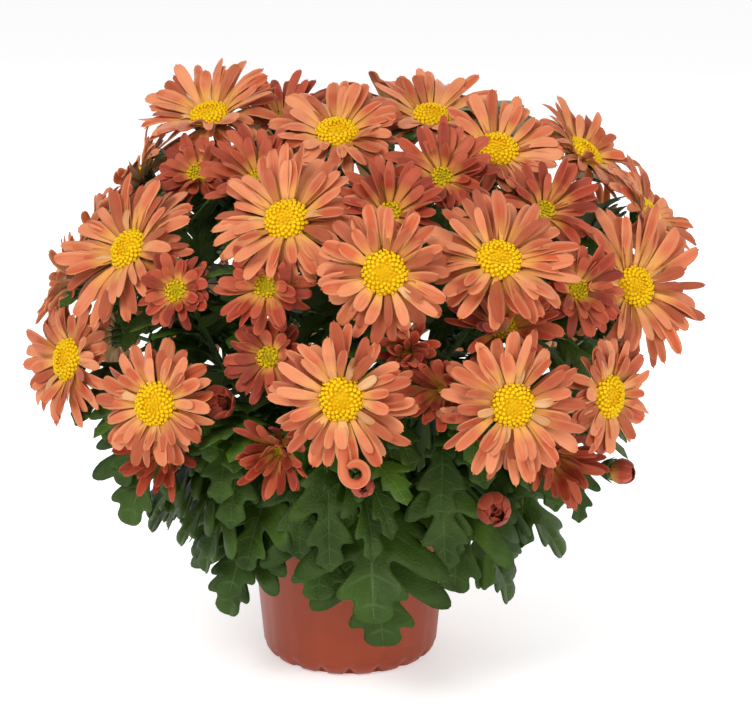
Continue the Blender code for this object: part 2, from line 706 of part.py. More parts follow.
    def disc_shell(self):
        """The disc of a large bloom, which rests on the rays' button."""
        shell = Shell()
        radius = self.stage["inner"] * math.cos(math.pi / self.stage["rows"]) - 2 * GAP
        foot = self.stage["band"] + GAP
        step = 2 * math.pi / DISC_SIDES
        base = shell.ring([self.at(radius, i * step, foot) for i in range(DISC_SIDES)])
        shell.cap(base)
        self.dome(shell, base, radius, foot, self.stage["dome"], 0)
        return shell

    def stalk_path(self, start, direction, bulge, count):
        """From a stem to the foot of the calyx, arriving from behind the head."""
        end = self.foot - (CALYX_HEIGHT + GAP) * self.face
        run = (end - start).length
        sideways = direction.cross(Vector((0, 0, 1))).normalized() * bulge * MM
        first = start + direction * run * STALK_ARMS[0] + sideways
        last = end - self.face * run * STALK_ARMS[1] + sideways
        return bezier(start, first, last, end, count)

    def branch_shell(self, path):
        """A branch that ends in a calyx under the head, with a flat top."""
        shell = Shell()
        taper = STALK_RADIUS - BRANCH_RADIUS
        radii = [BRANCH_RADIUS + taper * i / (len(path) - 1) for i in range(len(path))]
        top = self.stage["core"] * CALYX_WIDTH
        end = path[-1]
        for rise, share in ((CALYX_WAIST, 0.78), (1.0, 1.0)):
            path = path + [end + self.face * CALYX_HEIGHT * rise]
            radii = radii + [top * share]
        rings = tube_rings(shell, path, radii, BRANCH_SIDES, (path[1] - path[0]).orthogonal())
        shell.cap(rings[0])
        shell.cap(rings[-1])
        return shell

    def whole_shell(self, path):
        """A side bloom in one piece: its stalk, calyx, rays and disc."""
        shell = Shell()
        shell.paint(STALK_PAINT)
        low_points, high_points = self.core_rings()
        # the stalk is drawn from the head down, so that its corners meet the button's
        down = list(reversed(path))
        top = self.stage["core"] * SIDE_CALYX_WIDTH
        points = [self.foot - self.face * CALYX_HEIGHT * SIDE_CALYX_HEIGHT] + down
        radii = [top] + [STALK_RADIUS] * len(down)
        rings = tube_rings(shell, points, radii, len(low_points) // 2, self.out(self.spin))
        shell.cap(rings[-1])
        low, high = shell.ring(low_points), shell.ring(high_points)
        turned = [rings[0][0]] + list(reversed(rings[0][1:]))  # the tube's rings run the other way round
        shell.doubling_band(turned, low)
        shell.paint(RAY_PAINT)
        if self.is_bud:
            self.cup_shell(shell, low)
            return shell
        self.add_rays(shell, low, high)
        shell.paint(DISC_PAINT)
        step = 2 * math.pi / len(high)
        stage = self.stage
        self.dome(shell, high, stage["inner"], stage["band"], stage["dome"], self.spin + step / 2)
        return shell

    def cup_shell(self, shell, low):
        """An opening bud, whose furled rays stand in a ring round a sunken middle."""
        count = len(low)
        step = 2 * math.pi / count
        half = self.width / 2
        below = low
        for share, height in BUD_RINGS:
            ring = shell.ring([
                self.at(half * share, self.spin + i * step, half * height + (BUD_WAVE if i % 2 else 0))
                for i in range(count)
            ])
            shell.band(below, ring)
            below = ring
        shell.fan(below, shell.ring([self.at(0, 0, half * BUD_HOLLOW)])[0])


def stem_shell(turn):
    rises = (-HOLE_DEPTH + GAP + 0.2 * MM, 0.0, STEM_RISE * 0.35, STEM_RISE * 0.7, STEM_RISE)
    path = [stem_point(turn, rise) for rise in rises]
    radii = [STEM_RADIUS + (STEM_TOP_RADIUS - STEM_RADIUS) * max(rise, 0) / STEM_RISE for rise in rises]
    return tube(path, radii, STEM_SIDES)


def clear_path(space, besides, name, paths, shell_of):
    """The first path whose shell is clear of all but these names, or else the one that touches fewest."""
    best = None
    for path in paths:
        hits = space.meets(shell_of(path), besides)
        if best is None or hits < best[0]:
            best = (hits, path)
        if not hits:
            break
    if best[0]:
        print(name, "touches", best[0])
    return best[1]


def branch_tube(path):
    return tube(path, [BRANCH_RADIUS] * len(path), BRANCH_SIDES)


def leaf_curve(foot, tip, s):
    """A point on a leaf's midrib and its upward normal, at a share s of the way from its foot to its tip."""
    chord = tip - foot
    out = Vector((chord.x, chord.y, 0)).normalized()
    slope = math.atan2(chord.z, math.hypot(chord.x, chord.y))
    lowest, highest = (math.radians(a) for a in LEAF_LIFTS)
    lift = min(max(slope + math.radians(LEAF_ARCH), lowest), highest)
    droop = max(slope - math.radians(LEAF_DROOP), math.radians(LEAF_STEEPEST))
    reach = chord.length
    a = foot
    b = foot + (out * math.cos(lift) + Vector((0, 0, math.sin(lift)))) * reach * LEAF_ARMS[0]
    c = tip - (out * math.cos(droop) + Vector((0, 0, math.sin(droop)))) * reach * LEAF_ARMS[1]
    t = 1 - s
    point = a * t ** 3 + b * (3 * t * t * s) + c * (3 * t * s * s) + tip * s ** 3
    along = ((b - a) * (t * t) + (c - b) * (2 * t * s) + (tip - c) * (s * s)).normalized()
    sideways = out.cross(Vector((0, 0, 1)))
    return point, sideways.cross(along), sideways


def leaf_length(foot, tip):
    points = [leaf_curve(foot, tip, i / 8)[0] for i in range(9)]
    return sum((b - a).length for a, b in zip(points, points[1:]))


def leaf_shell(foot, tip):
    """A leaf and its petiole: an arched blade, folded along its midrib, thick there and sharp at its edge."""
    length = leaf_length(foot, tip)
    large = length >= LARGE_FROM
    outline = LARGE_LEAF if large else SMALL_LEAF
    ribs = LARGE_RIB if large else SMALL_RIB
    blade = length * (1 - PETIOLE_SHARE)

    def upper(along, across):
        point, normal, sideways = leaf_curve(foot, tip, PETIOLE_SHARE + along * (1 - PETIOLE_SHARE))
        return point + sideways * across * blade + normal * abs(across) * blade * math.sin(LEAF_FOLD)

    def lower(along, across):
        normal = leaf_curve(foot, tip, PETIOLE_SHARE + along * (1 - PETIOLE_SHARE))[1]
        return upper(along, across) - normal * LEAF_THICKNESS

    shell = Shell()
    sides = [shell.ring([upper(a, sign * b) for a, b in outline]) for sign in (1, -1)]
    end = shell.ring([tip])[0]
    keel = shell.ring([lower(0.0, 0.0)])[0]
    for place in (upper, lower):
        rib = shell.ring([place(a, 0.0) for a in ribs])
        for side in sides:
            shell.faces += blade_faces(side, rib, end)
        if place is upper:
            shell.faces.append((sides[0][0], sides[1][0], rib[0]))
        else:
            shell.faces += [(sides[0][0], keel, rib[0]), (keel, sides[1][0], rib[0])]
    point, normal, sideways = leaf_curve(foot, tip, 0)
    ring = shell.ring([
        point + sideways * PETIOLE_RADIUS,
        point - sideways * PETIOLE_RADIUS,
        point - normal * PETIOLE_RADIUS * PETIOLE_DEPTH,
    ])
    shell.band([sides[0][0], sides[1][0], keel], ring)
    shell.cap(ring)
    return shell


def blade_faces(side, rib, tip):
    """The triangles of half a blade, which fan out from two points of its midrib to its edge."""
    low, high = rib
    turn = 4 if len(side) == len(LARGE_LEAF) else 3  # where the edge comes nearest to the midrib
    edge = side + [tip]
    return (
        [(edge[i], edge[i + 1], low) for i in range(turn)]
        + [(low, edge[turn], high)]
        + [(edge[i], edge[i + 1], high) for i in range(turn, len(edge) - 1)]
    )


def set_leaf(space, node, foot, tip):
    """The leaf, its tip moved as little as keeps it clear, or None if nothing does. A blade may cross at most
    one piece of its own cutting, into which it is fused."""
    for reach, most, (swing, rise) in itertools.product(LEAF_REACHES, (0, 1), LEAF_SHIFTS):
        chord = (tip - foot) * reach
        chord.rotate(Quaternion((0, 0, 1), math.radians(swing)))
        shell = leaf_shell(foot, foot + chord + Vector((0, 0, rise * MM)))
        blade = Shell()
        blade.points = shell.points
        blade.faces = shell.faces[:-7]  # the last seven faces are the petiole's
        if not space.meets(shell, (node,)) and space.meets(blade) <= most:
            space.add(node, shell)
            return shell
    return None


def grow_branches(space, heads, green):
    """Adds each large bloom's branch to its cutting. Gives each branch's cutting and path by its bloom."""
    branches = {}
    for number, shells in green.items():
        node = f"cutting_{number + 1}"
        names = sorted((n for n, row in BLOOMS.items() if row[0] == number), key=lambda n: heads[n].foot.z)
        for i, name in enumerate(names):
            head = heads[name]
            lowest, highest = BRANCH_PLACES
            share = lowest + (highest - lowest) * i / max(len(names) - 1, 1)
            foot = stem_point(CUTTING_TURNS[number], STEM_RISE * share)
            away = head.foot - foot
            direction = (Vector((away.x, away.y, 0)).normalized() + Vector((0, 0, BRANCH_CLIMB))).normalized()
            paths = [head.stalk_path(foot, direction, bulge, 4) for bulge in STALK_BULGES]
            path = clear_path(space, (node,), name + " branch", paths, head.branch_shell)
            shells.append(head.branch_shell(path))
            space.add(node, shells[-1])
            branches[name] = (number, path)
    return branches


def spray_stalk(number, rise, middle, share, bulge):
    """From beside a stem, its flat foot as near as it can stand, to the fork of the spray."""
    stem = stem_point(CUTTING_TURNS[number], rise * MM)
    away = middle - stem
    direction = (Vector((away.x, away.y, 0)).normalized() + Vector((0, 0, SPRAY_CLIMB))).normalized()
    level = math.hypot(direction.x, direction.y)
    start = stem + direction * (STEM_RADIUS + 2 * GAP + BRANCH_RADIUS * direction.z) / level
    sideways = direction.cross(Vector((0, 0, 1))).normalized()
    fork = stem + away * share + sideways * bulge * MM
    return bezier(start, start + direction * away.length * 0.2, fork - away * 0.12, fork, 3)


def grow_spray(space, name, row):
    """A spray's own stalk, which stands in the crook of a stem, its heads and the path of each one's stalk."""
    number, rise, rows = row
    members = [Head(f"{name}_head_{i + 1}", *head) for i, head in enumerate(rows)]
    middle = sum((h.foot for h in members), Vector()) / len(members)
    trunks = [
        spray_stalk(number, rise + shift, middle, share, bulge)
        for shift, share, bulge in itertools.product(FOOT_SHIFTS, FORK_SHARES, STALK_BULGES)
    ]
    own = [name] + [head.name for head in members]
    trunk = clear_path(space, own, name + " stalk", trunks, branch_tube)
    space.add(name, branch_tube(trunk))
    leaving = (trunk[-1] - trunk[-2]).normalized()
    first = trunk[-1] - leaving * 2 * MM
    paths = []
    for head in members:
        way = (leaving + (head.foot - trunk[-1]).normalized()).normalized()
        choices = [head.stalk_path(first, way, bulge, 4) for bulge in STALK_BULGES]
        paths.append(clear_path(space, own, head.name, choices, head.stalk_shell))
        space.add(head.name, head.stalk_shell(paths[-1]))
        head.rays = []
        space.add(head.name, head.whole_shell(paths[-1]) if head.is_bud else head.button_shell())
    return trunk, members, paths


def spray_leaves(space, name, trunk):
    """The leaves of a spray's own stalk."""
    shells = []
    lean = trunk[-1] - trunk[0]
    outward = math.degrees(math.atan2(lean.x, -lean.y))
    for share, turn in SPRAY_LEAVES if name in LEAFY_SPRAYS else ():
        foot = along_path(trunk, share)
        shell = set_leaf(space, name, foot, foot + INNER_LENGTH * heading(outward + turn, SPRAY_LEAF_LIFT))
        if shell:
            shell.paint_all(STALK_PAINT)
            shells.append(shell)
        else:
            print("left out: a leaf of", name)
    return shells


def grow_leaves(space, branches, green):
    """The leaves of the skirt, the crown and the inside, each as near its own place as it can stand."""
    wanted = [
        (number, stem_point(CUTTING_TURNS[number], rise * MM), Vector(tip) * MM)
        for number, rise, *tip in SKIRT
    ]
    for name, share, *tip in CROWN:
        number, path = branches[name]
        wanted.append((number, along_path(path, share), Vector(tip) * MM))
    for i, (number, path) in enumerate(list(branches.values())[::2]):
        foot = along_path(path, INNER_SHARE)
        wanted.append((number, foot, foot + INNER_LENGTH * heading(GOLDEN_ANGLE * i, INNER_LIFT)))
    lost = 0
    for number, foot, tip in wanted:
        shell = set_leaf(space, f"cutting_{number + 1}", foot, tip)
        if shell:
            green[number].append(shell)
        else:
            lost += 1
            print("left out: leaf with its tip at", [round(v / MM) for v in tip])
    print("leaves left out:", lost, "of", len(wanted))


def along_path(path, share):
    place = share * (len(path) - 1)
    return path[int(place)].lerp(path[int(place) + 1], place - int(place))


def build():
    clear_scene()
    terracotta = material("terracotta_plastic", (0.36, 0.085, 0.035), 0.45)
    peat = material("potting_soil", (0.035, 0.02, 0.012), 0.95)
    leaf_green = material("leaf_green", (0.045, 0.11, 0.025), 0.55)
    coral = material("ray_coral", (0.72, 0.19, 0.075), 0.6)
    side_coral = material("side_bloom_coral", (0.60, 0.13, 0.05), 0.6)
    yellow = material("disc_yellow", (0.80, 0.50, 0.02), 0.7)
    pot(terracotta)
    soil(peat)

    space = Space()
    space.add("pot", pot_space())
    green = {number: [stem_shell(turn)] for number, turn in enumerate(CUTTING_TURNS)}
    for number, shells in green.items():
        space.add(f"cutting_{number + 1}", shells[0])

    heads = {name: Head(name, *row[1:]) for name, row in BLOOMS.items()}
    branches = grow_branches(space, heads, green)
    for name, head in heads.items():
        space.add(name, head.button_shell())
        space.add(name, head.disc_shell())
    sprays = {name: grow_spray(space, name, row) for name, row in SPRAYS.items()}

    for name, head in heads.items():
        head.set_rays(space)
        head.rays_shell().object(name + "_rays", coral)
        head.disc_shell().object(name + "_disc", yellow)
    for name, (trunk, members, paths) in sprays.items():
        shells = [branch_tube(trunk)]
        shells[0].paint_all(STALK_PAINT)
        for head, path in zip(members, paths):
            if not head.is_bud:
                head.set_rays(space)
            shells.append(head.whole_shell(path))
        shells += spray_leaves(space, name, trunk)
        joined(name, shells, side_coral, leaf_green, yellow)
    grow_leaves(space, branches, green)
    for number, shells in green.items():
        joined(f"cutting_{number + 1}", shells, leaf_green)


build()
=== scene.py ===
"""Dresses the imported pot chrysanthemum: fine petals, florets, leaves and stalks in place of its plain solids.

Lengths are metres; MM turns millimetres into them. The tables of the plant's layout repeat the ones that its
solids were grown from. Where a solid was bent clear of another one, the bend is read back from its corners.
"""

import contextlib
import functools
import itertools
import math
import random

import bpy
import numpy as np
from bpy.props import FloatProperty, FloatVectorProperty, IntProperty, PointerProperty
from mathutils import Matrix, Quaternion, Vector
from mathutils.bvhtree import BVHTree
from mathutils.kdtree import KDTree


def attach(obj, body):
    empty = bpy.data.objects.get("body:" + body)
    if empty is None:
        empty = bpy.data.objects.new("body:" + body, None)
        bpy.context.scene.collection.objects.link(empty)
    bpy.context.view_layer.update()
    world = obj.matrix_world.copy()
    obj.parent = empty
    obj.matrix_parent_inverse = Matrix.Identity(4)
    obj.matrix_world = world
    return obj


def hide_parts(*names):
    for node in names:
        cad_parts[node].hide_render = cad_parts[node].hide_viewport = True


bl_info = {
    "name": "Pot Chrysanthemum",
    "version": (1, 0, 0),
    "blender": (4, 5, 0),
    "location": "View3D > Sidebar > Chrysanthemum",
    "description": "Builds the fine petals, leaves, stalks and pot of a potted chrysanthemum",
    "category": "Add Mesh",
}

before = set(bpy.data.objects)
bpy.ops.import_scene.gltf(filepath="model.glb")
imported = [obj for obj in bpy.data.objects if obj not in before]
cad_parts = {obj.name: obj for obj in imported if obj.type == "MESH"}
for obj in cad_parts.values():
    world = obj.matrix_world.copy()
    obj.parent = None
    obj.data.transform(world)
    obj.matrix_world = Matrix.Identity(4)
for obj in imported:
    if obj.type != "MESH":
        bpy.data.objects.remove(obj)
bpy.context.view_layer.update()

MM = 0.001

# Pot and soil
POT_RIM_RADIUS = 61.5 * MM
POT_RIM_DEPTH = 9 * MM
POT_HEIGHT = 106 * MM
POT_SHOULDER_RADIUS = 58.5 * MM
POT_FOOT_RADIUS = 50.5 * MM
POT_BASE_RADIUS = 43 * MM
POT_CORNER_HEIGHT = 9 * MM
POT_WALL = 1.8 * MM
POT_FLOOR = 2.5 * MM
FOOT_NOTCH_RISE = 3.0 * MM
FOOT_NOTCH_DEPTH = 2.2 * MM
FOOT_NOTCHES = 18
DRAIN_HOLES = 4
DRAIN_RADIUS = 4 * MM
DRAIN_CIRCLE_RADIUS = 31 * MM
SOIL_HEIGHT = 94 * MM

# Cuttings: the turn of each stem's place round the pot
CUTTING_TURNS = (-42, 38, 112, 180, 248)
STEM_CIRCLE_RADIUS = 24 * MM
STEM_RADIUS = 3.0 * MM
STEM_TOP_RADIUS = 2.3 * MM
STEM_LEAN = 13 * MM
STEM_RISE = 60 * MM

# Stalks
BRANCH_SIDES = 4
BRANCH_RADIUS = 1.9 * MM
STALK_RADIUS = 1.3 * MM
BRANCH_PLACES = (0.38, 0.96)
BRANCH_CLIMB = 1.1
SPRAY_CLIMB = 0.9
STALK_ARMS = (0.36, 0.34)
CALYX_HEIGHT = 8 * MM
CALYX_WAIST = 0.45
SIDE_CALYX_HEIGHT = 0.35
GAP = 0.3 * MM

# How a head's parts measure at each stage of its opening. Core, inner, band, rows, cup, ray and tip are those
# of the solids, and dome is the solid disc's height. Petals is how many each row holds, petal is their half
# width, and florets is how many the disc holds.
STAGES = {
    "open": dict(core=10.5 * MM, inner=10.5 * MM, band=2.4 * MM, rows=9, cup=(20, -4), ray=8.4 * MM,
                 tip=0.55, dome=5.0 * MM, petals=(19, 18, 15), petal=4.05 * MM, florets=96),
    "full": dict(core=9.0 * MM, inner=9.0 * MM, band=2.4 * MM, rows=8, cup=(22, -4), ray=9.0 * MM,
                 tip=0, dome=4.0 * MM, petals=(17, 16, 13), petal=4.05 * MM, florets=72),
    "half": dict(core=7.0 * MM, inner=6.4 * MM, band=2.4 * MM, rows=6, cup=(38, 14), ray=8.4 * MM,
                 tip=0, dome=3.0 * MM, petals=(16, 15, 10), petal=3.65 * MM, florets=48),
    "young": dict(core=5.6 * MM, inner=4.0 * MM, band=2.2 * MM, rows=6, cup=(52, 66), ray=5.6 * MM,
                  tip=0.9, dome=2.0 * MM, petals=(12, 11, 6), petal=3.0 * MM, florets=30),
    "bud": dict(core=6.0 * MM, inner=4.0 * MM, band=7.0 * MM, rows=6, cup=(0, 0), ray=0,
                tip=0, dome=0, petals=(9, 8), petal=2.6 * MM, florets=0),
}
RAY_STEPS = 12
UPPER_ROW_REACH = 0.94
UPPER_ROW_LIFT = 4

# Large blooms, one on each branch: cutting, across, depth (front is negative) and height of the head's foot
# in millimetres, turn and lift of its face, width, stage
BLOOMS = {
    "bloom_01": (0, -77, 14, 307, -24, 62, 80, "open"),
    "bloom_02": (0, -6, -34, 305, 0, 58, 70, "open"),
    "bloom_03": (2, 46, 20, 305, 14, 64, 74, "open"),
    "bloom_04": (1, 80, -32, 296, 6, 50, 70, "open"),
    "bloom_05": (2, 131, 32, 283, 62, 50, 72, "open"),
    "bloom_06": (2, 163, -10, 256, 76, 36, 70, "open"),
    "bloom_07": (0, -30, -103, 273, -14, 38, 78, "open"),
    "bloom_08": (4, -114, -64, 249, -44, 34, 86, "open"),
    "bloom_09": (0, -40, -118, 243, -8, 18, 50, "half"),
    "bloom_10": (1, 22, -92, 274, 2, 46, 56, "half"),
    "bloom_11": (0, 19, -134, 254, 2, 14, 68, "open"),
    "bloom_12": (1, 77, -114, 254, 8, 46, 80, "open"),
    "bloom_13": (2, 151, -62, 229, 34, 24, 88, "open"),
    "bloom_14": (4, -150, -46, 185, -48, 16, 68, "open"),
    "bloom_15": (0, -97, -118, 181, -24, 14, 66, "open"),
    "bloom_16": (0, -2, -156, 195, -4, 8, 74, "open"),
    "bloom_17": (1, 83, -140, 187, 12, 8, 78, "open"),
    "bloom_18": (1, 134, -99, 180, 46, 8, 60, "open"),
}
# How many short cream spoons stand round the disc of a large bloom
SPOONS = {"bloom_16": 9, "bloom_17": 6, "bloom_15": 3, "bloom_07": 4, "bloom_08": 3}
SPOONS_ELSEWHERE = 1
# Rolled petals that hang out of a bloom: the turn round its disc, from the top, and the length in millimetres
QUILLS = {"bloom_16": ((189, 60),)}

# Side sprays: the cutting and the height of the spray's foot above the soil, then its heads as above
SPRAYS = {
    "spray_01": (4, 50, ((-80, -28, 283, -20, 40, 44, "half"), (-46, -56, 285, -12, 50, 56, "half"),
                         (-38, 30, 301, 10, 70, 56, "half"))),
    "spray_02": (4, 42, ((-114, 2, 273, -100, 30, 72, "full"), (-148, -18, 222, -92, 22, 60, "half"))),
    "spray_03": (0, 34, ((-87, -100, 236, -14, 24, 40, "half"), (-70, -112, 181, 28, 10, 22, "bud"),
                         (-94, -90, 151, -18, -4, 40, "young"))),
    "spray_04": (0, 26, ((-38, -122, 207, -24, 16, 46, "half"), (-34, -128, 160, -8, 2, 38, "young"),
                         (8, -148, 148, 4, 0, 15, "bud"))),
    "spray_05": (1, 26, ((50, -124, 190, -12, 12, 38, "young"), (30, -127, 210, 4, 14, 31, "young"),
                         (76, -108, 123, 4, 4, 23, "bud"))),
    "spray_06": (1, 50, ((50, -62, 287, -4, 40, 56, "half"), (103, -56, 268, 20, 38, 58, "half"),
                         (80, -112, 219, 6, 40, 58, "half"))),
    "spray_07": (1, 34, ((118, -88, 234, 28, 24, 50, "half"), (106, -94, 147, 26, -4, 40, "young"),
                         (143, -64, 128, 62, 0, 18, "bud"))),
    "spray_08": (3, 52, ((24, 58, 302, 168, 72, 70, "full"), (82, 74, 283, 130, 52, 72, "full"),
                         (-36, 88, 285, 205, 54, 74, "full"))),
    "spray_09": (2, 40, ((146, 62, 232, 112, 26, 74, "full"), (100, 120, 234, 145, 26, 76, "full"))),
    "spray_10": (3, 36, ((18, 148, 232, 178, 24, 76, "full"), (-60, 130, 237, 206, 28, 74, "full"),
                         (-18, 118, 270, 190, 48, 50, "half"))),
    "spray_11": (4, 34, ((-118, 82, 235, 236, 28, 76, "full"), (-142, 28, 236, 264, 24, 66, "full"))),
    "spray_12": (2, 22, ((150, 40, 176, 100, 6, 64, "full"), (124, 98, 170, 130, 6, 66, "full"))),
    "spray_13": (3, 22, ((62, 140, 168, 158, 6, 70, "full"), (-20, 150, 166, 188, 6, 72, "full"))),
    "spray_14": (4, 20, ((-92, 116, 172, 220, 6, 70, "full"), (-136, 58, 174, 248, 8, 66, "full"))),
}

# The solid leaves' corners that tell one from another: along and across, as shares of the blade's length
LARGE_LOBE = (0.43, 0.43)
SMALL_LOBE = (0.54, 0.38)
PETIOLE_RADIUS = 1.2 * MM
PETIOLE_SHARE = 0.22
LEAF_FOLD = math.radians(14)
LARGE_FROM = 84 * MM
LEAF_ARCH = 65
LEAF_LIFTS = (42, 60)
LEAF_DROOP = 35
LEAF_STEEPEST = -88
LEAF_ARMS = (0.42, 0.38)

# Leaves of the skirt: cutting, height of the foot above the soil, then where the tip hangs
SKIRT = (
    (1, 22, 19, -88, 35), (0, 20, -66, -70, 46), (1, 32, 68, -80, 46), (1, 24, 98, -82, 62),
    (0, 26, -84, -58, 66), (0, 30, -26, -90, 60), (1, 30, 118, -58, 76), (0, 34, -110, -50, 88),
    (0, 42, -58, -96, 84), (1, 44, 44, -100, 76), (2, 18, 92, -18, 54), (2, 24, 106, 24, 66),
    (2, 20, 76, 62, 50), (2, 34, 124, 52, 92), (3, 18, 34, 88, 44), (3, 22, -34, 90, 48),
    (3, 32, 4, 108, 74), (3, 44, 56, 116, 104), (3, 46, -50, 122, 106), (4, 18, -74, 52, 48),
    (4, 22, -94, -6, 56), (4, 30, -108, 40, 76), (4, 34, -124, 8, 92),
)
# Leaves of the crown: the bloom whose branch bears each one, how far up the branch, then its tip
CROWN = (
    ("bloom_16", 0.40, -8, -124, 106), ("bloom_17", 0.40, 52, -122, 112), ("bloom_15", 0.44, -62, -104, 108),
    ("bloom_18", 0.42, 116, -88, 108), ("bloom_17", 0.52, 90, -114, 130), ("bloom_15", 0.56, -108, -90, 118),
    ("bloom_16", 0.56, -52, -124, 144), ("bloom_16", 0.62, 34, -134, 150), ("bloom_14", 0.44, -124, -56, 116),
    ("bloom_14", 0.58, -148, -66, 148), ("bloom_18", 0.60, 154, -66, 144), ("bloom_15", 0.66, -60, -112, 180),
    ("bloom_08", 0.62, -120, -66, 203), ("bloom_08", 0.74, -162, -34, 226), ("bloom_13", 0.62, 168, -58, 204),
    ("bloom_07", 0.66, -16, -112, 230), ("bloom_11", 0.70, 48, -116, 240), ("bloom_12", 0.72, 62, -100, 284),
    ("bloom_13", 0.74, 128, -90, 250), ("bloom_04", 0.78, 66, -60, 290), ("bloom_06", 0.76, 150, -28, 272),
    ("bloom_01", 0.72, -118, -8, 288), ("bloom_02", 0.80, -40, -44, 298), ("bloom_07", 0.50, -78, -92, 214),
    ("bloom_11", 0.50, -4, -104, 176), ("bloom_17", 0.66, 56, -122, 170),
)
# More leaf tips, by where the front view shows them: pixels across and down the view, then the depth in
# millimetres. Each leaf grows from the stalk that suits it best.
SEEN_TIPS = (
    (372, 562, -118), (330, 572, -112), (300, 560, -100), (446, 572, -104), (392, 540, -122),
    (318, 600, -100), (452, 560, -100), (503, 574, -78), (484, 590, -84), (520, 548, -80), (579, 523, -66),
    (556, 512, -70), (229, 597, -82), (205, 572, -76), (246, 570, -90), (180, 545, -66), (129, 525, -64),
    (150, 519, -66), (160, 488, -80), (352, 520, -118), (300, 480, -104), (400, 500, -118),
    (300, 524, -104), (272, 500, -96), (430, 455, -104), (418, 472, -108), (452, 470, -100),
    (482, 482, -96), (470, 540, -94), (497, 520, -90), (440, 520, -110), (455, 592, -94), (168, 512, -72),
    (208, 228, 10), (215, 245, 20), (200, 215, 25), (222, 232, 30), (205, 250, 0), (218, 214, 10),
    (196, 228, 40), (205, 222, -15), (198, 212, -5), (215, 226, -30), (208, 242, -25), (196, 236, -25),
    (212, 235, -45), (222, 262, -50), (190, 225, -50), (315, 290, -45), (320, 312, -55), (332, 328, -60),
    (450, 285, -60), (445, 312, -70), (456, 335, -60), (440, 352, -70), (560, 320, -60), (580, 340, -60),
    (600, 312, -50), (628, 206, -20), (560, 160, -10), (345, 172, -30), (366, 165, -20), (405, 143, 0),
    (395, 150, -20), (165, 330, -60), (185, 336, -60), (205, 345, -60), (200, 366, -65), (235, 362, -65),
    (118, 305, -70), (230, 400, -80), (240, 430, -85), (195, 462, -80), (60, 308, -50), (76, 426, -60),
    (104, 440, -60), (627, 443, -50), (660, 340, -30), (640, 352, -40), (582, 470, -70), (600, 455, -60),
)
VIEW_TARGET = Vector((15, 0, 175)) * MM
VIEW_SIZE = (752, 712)
SENSOR_WIDTH = 36
INNER_SHARE = 0.52
INNER_LENGTH = 58 * MM
INNER_LIFT = -5
SPRAY_LEAF_LIFT = 12
GOLDEN_ANGLE = 137.5
LEAFY_SPRAYS = ("spray_08", "spray_09", "spray_10", "spray_11", "spray_12", "spray_13", "spray_14")
SPRAY_LEAVES = ((0.62, -42), (0.86, 38))

# What the solids tried in turn until they were clear of each other
RAY_BENDS = (0, 8, 16, 24, 34, 46)
RAY_REACHES = (1.0, 0.8, 0.6, 0.4, 0.25)
LEAF_REACHES = (1.0, 0.85, 0.7)
LEAF_SHIFTS = (
    (0, 0), (0, 8), (0, -8), (10, 0), (-10, 0), (0, 16), (0, -16), (18, 4), (-18, 4), (10, 14), (-10, 14),
    (28, 0), (-28, 0), (0, 28), (20, 22), (-20, 22), (40, 8), (-40, 8), (14, -24), (-14, -24),
    (55, 0), (-55, 0),
)
STALK_BULGES = (0, 6, -6, 12, -12, 20, -20, 30, -30, 42, -42)
FOOT_SHIFTS = (0, -6, 6, -12, 12)
FORK_SHARES = (0.5, 0.42, 0.6)

# A petal's half width along it, as shares of its widest
PETAL_WIDTHS = ((0, 0.26), (0.12, 0.38), (0.30, 0.66), (0.50, 0.90), (0.68, 1.0), (0.82, 0.97), (0.91, 0.82),
                (0.97, 0.60), (1.0, 0.36))
PETAL_SHARES = (0, 0.25, 0.5, 0.7, 0.88, 0.965, 1.0)
PETAL_COLUMNS = 4
PETAL_STEPS = np.linspace(0, 1.06, 28)  # shares of its length at which a petal's bend is worked out
ROOT_DEPTH = 3 * MM
DISC_SPREAD = 1.08
PETAL_SPREAD = 1.05
UPPER_PETALS_REACH = 0.77
UPPER_PETALS_LIFT = 13
PETAL_GROOVE = 0.28 * MM
PETAL_THICKNESS = 0.35 * MM
PETAL_ROW_WIDTHS = (1, 0.96, 0.84)
PETAL_ROW_RISES = (0.2 * MM, 0.0, 0.5 * MM)
PETAL_REACHES = (0.76, 1.08, 1.02)  # shortest, longest and usual length, as shares
PETAL_TIP_SLOPES = (-34, 14)  # least and most that a tip's slope strays, in degrees
PETAL_WAVES = (4, 18)  # least and most swing of a petal's slope, in degrees
SPOON_LENGTHS = (12.5, 17)  # millimetres
SPOON_HALF_WIDTHS = (2.2, 3.1)
SPOON_SLOPES = (38, 56)  # degrees at the foot
SPOON_BENDS = (60, 85)  # degrees from foot to tip

# A rolled petal: the share of it that is straight, how far the rest turns, and its radius along it
QUILL_STEPS = 48
QUILL_STRAIGHT = 0.46
QUILL_TURN = math.radians(330)
QUILL_RADII = (
    (0, 1.0 * MM), (0.3, 2.4 * MM), (0.5, 2.8 * MM), (0.7, 2.2 * MM), (0.92, 2.4 * MM), (1, 1.4 * MM))

# An opening bud's petals, of which the second row is shorter, steeper and narrower. Sizes are shares of the
# bud's half width.
BUD_LENGTHS = (1.75, 1.30)
BUD_WIDTHS = (0.42, 0.32)
BUD_HOLLOW = 0.30
BUD_SLOPES = (22, 48)  # degrees at the foot
BUD_TIP_SLOPE = 148
BUD_FOLD = 0.35  # how far the petal's edges stand over its middle, as a share of its width

# The calyx's radius along it, as shares of the head's core. Then, for each row of bracts, how many it has and
# where they start and end along the calyx.
CALYX_RADII = ((0.15, 0.26), (0.35, 0.52), (0.6, 0.76), (0.85, 0.9), (1, 0.92))
BRACT_ROWS = ((11, 0.16, 0.82), (12, 0.42, 1.14))

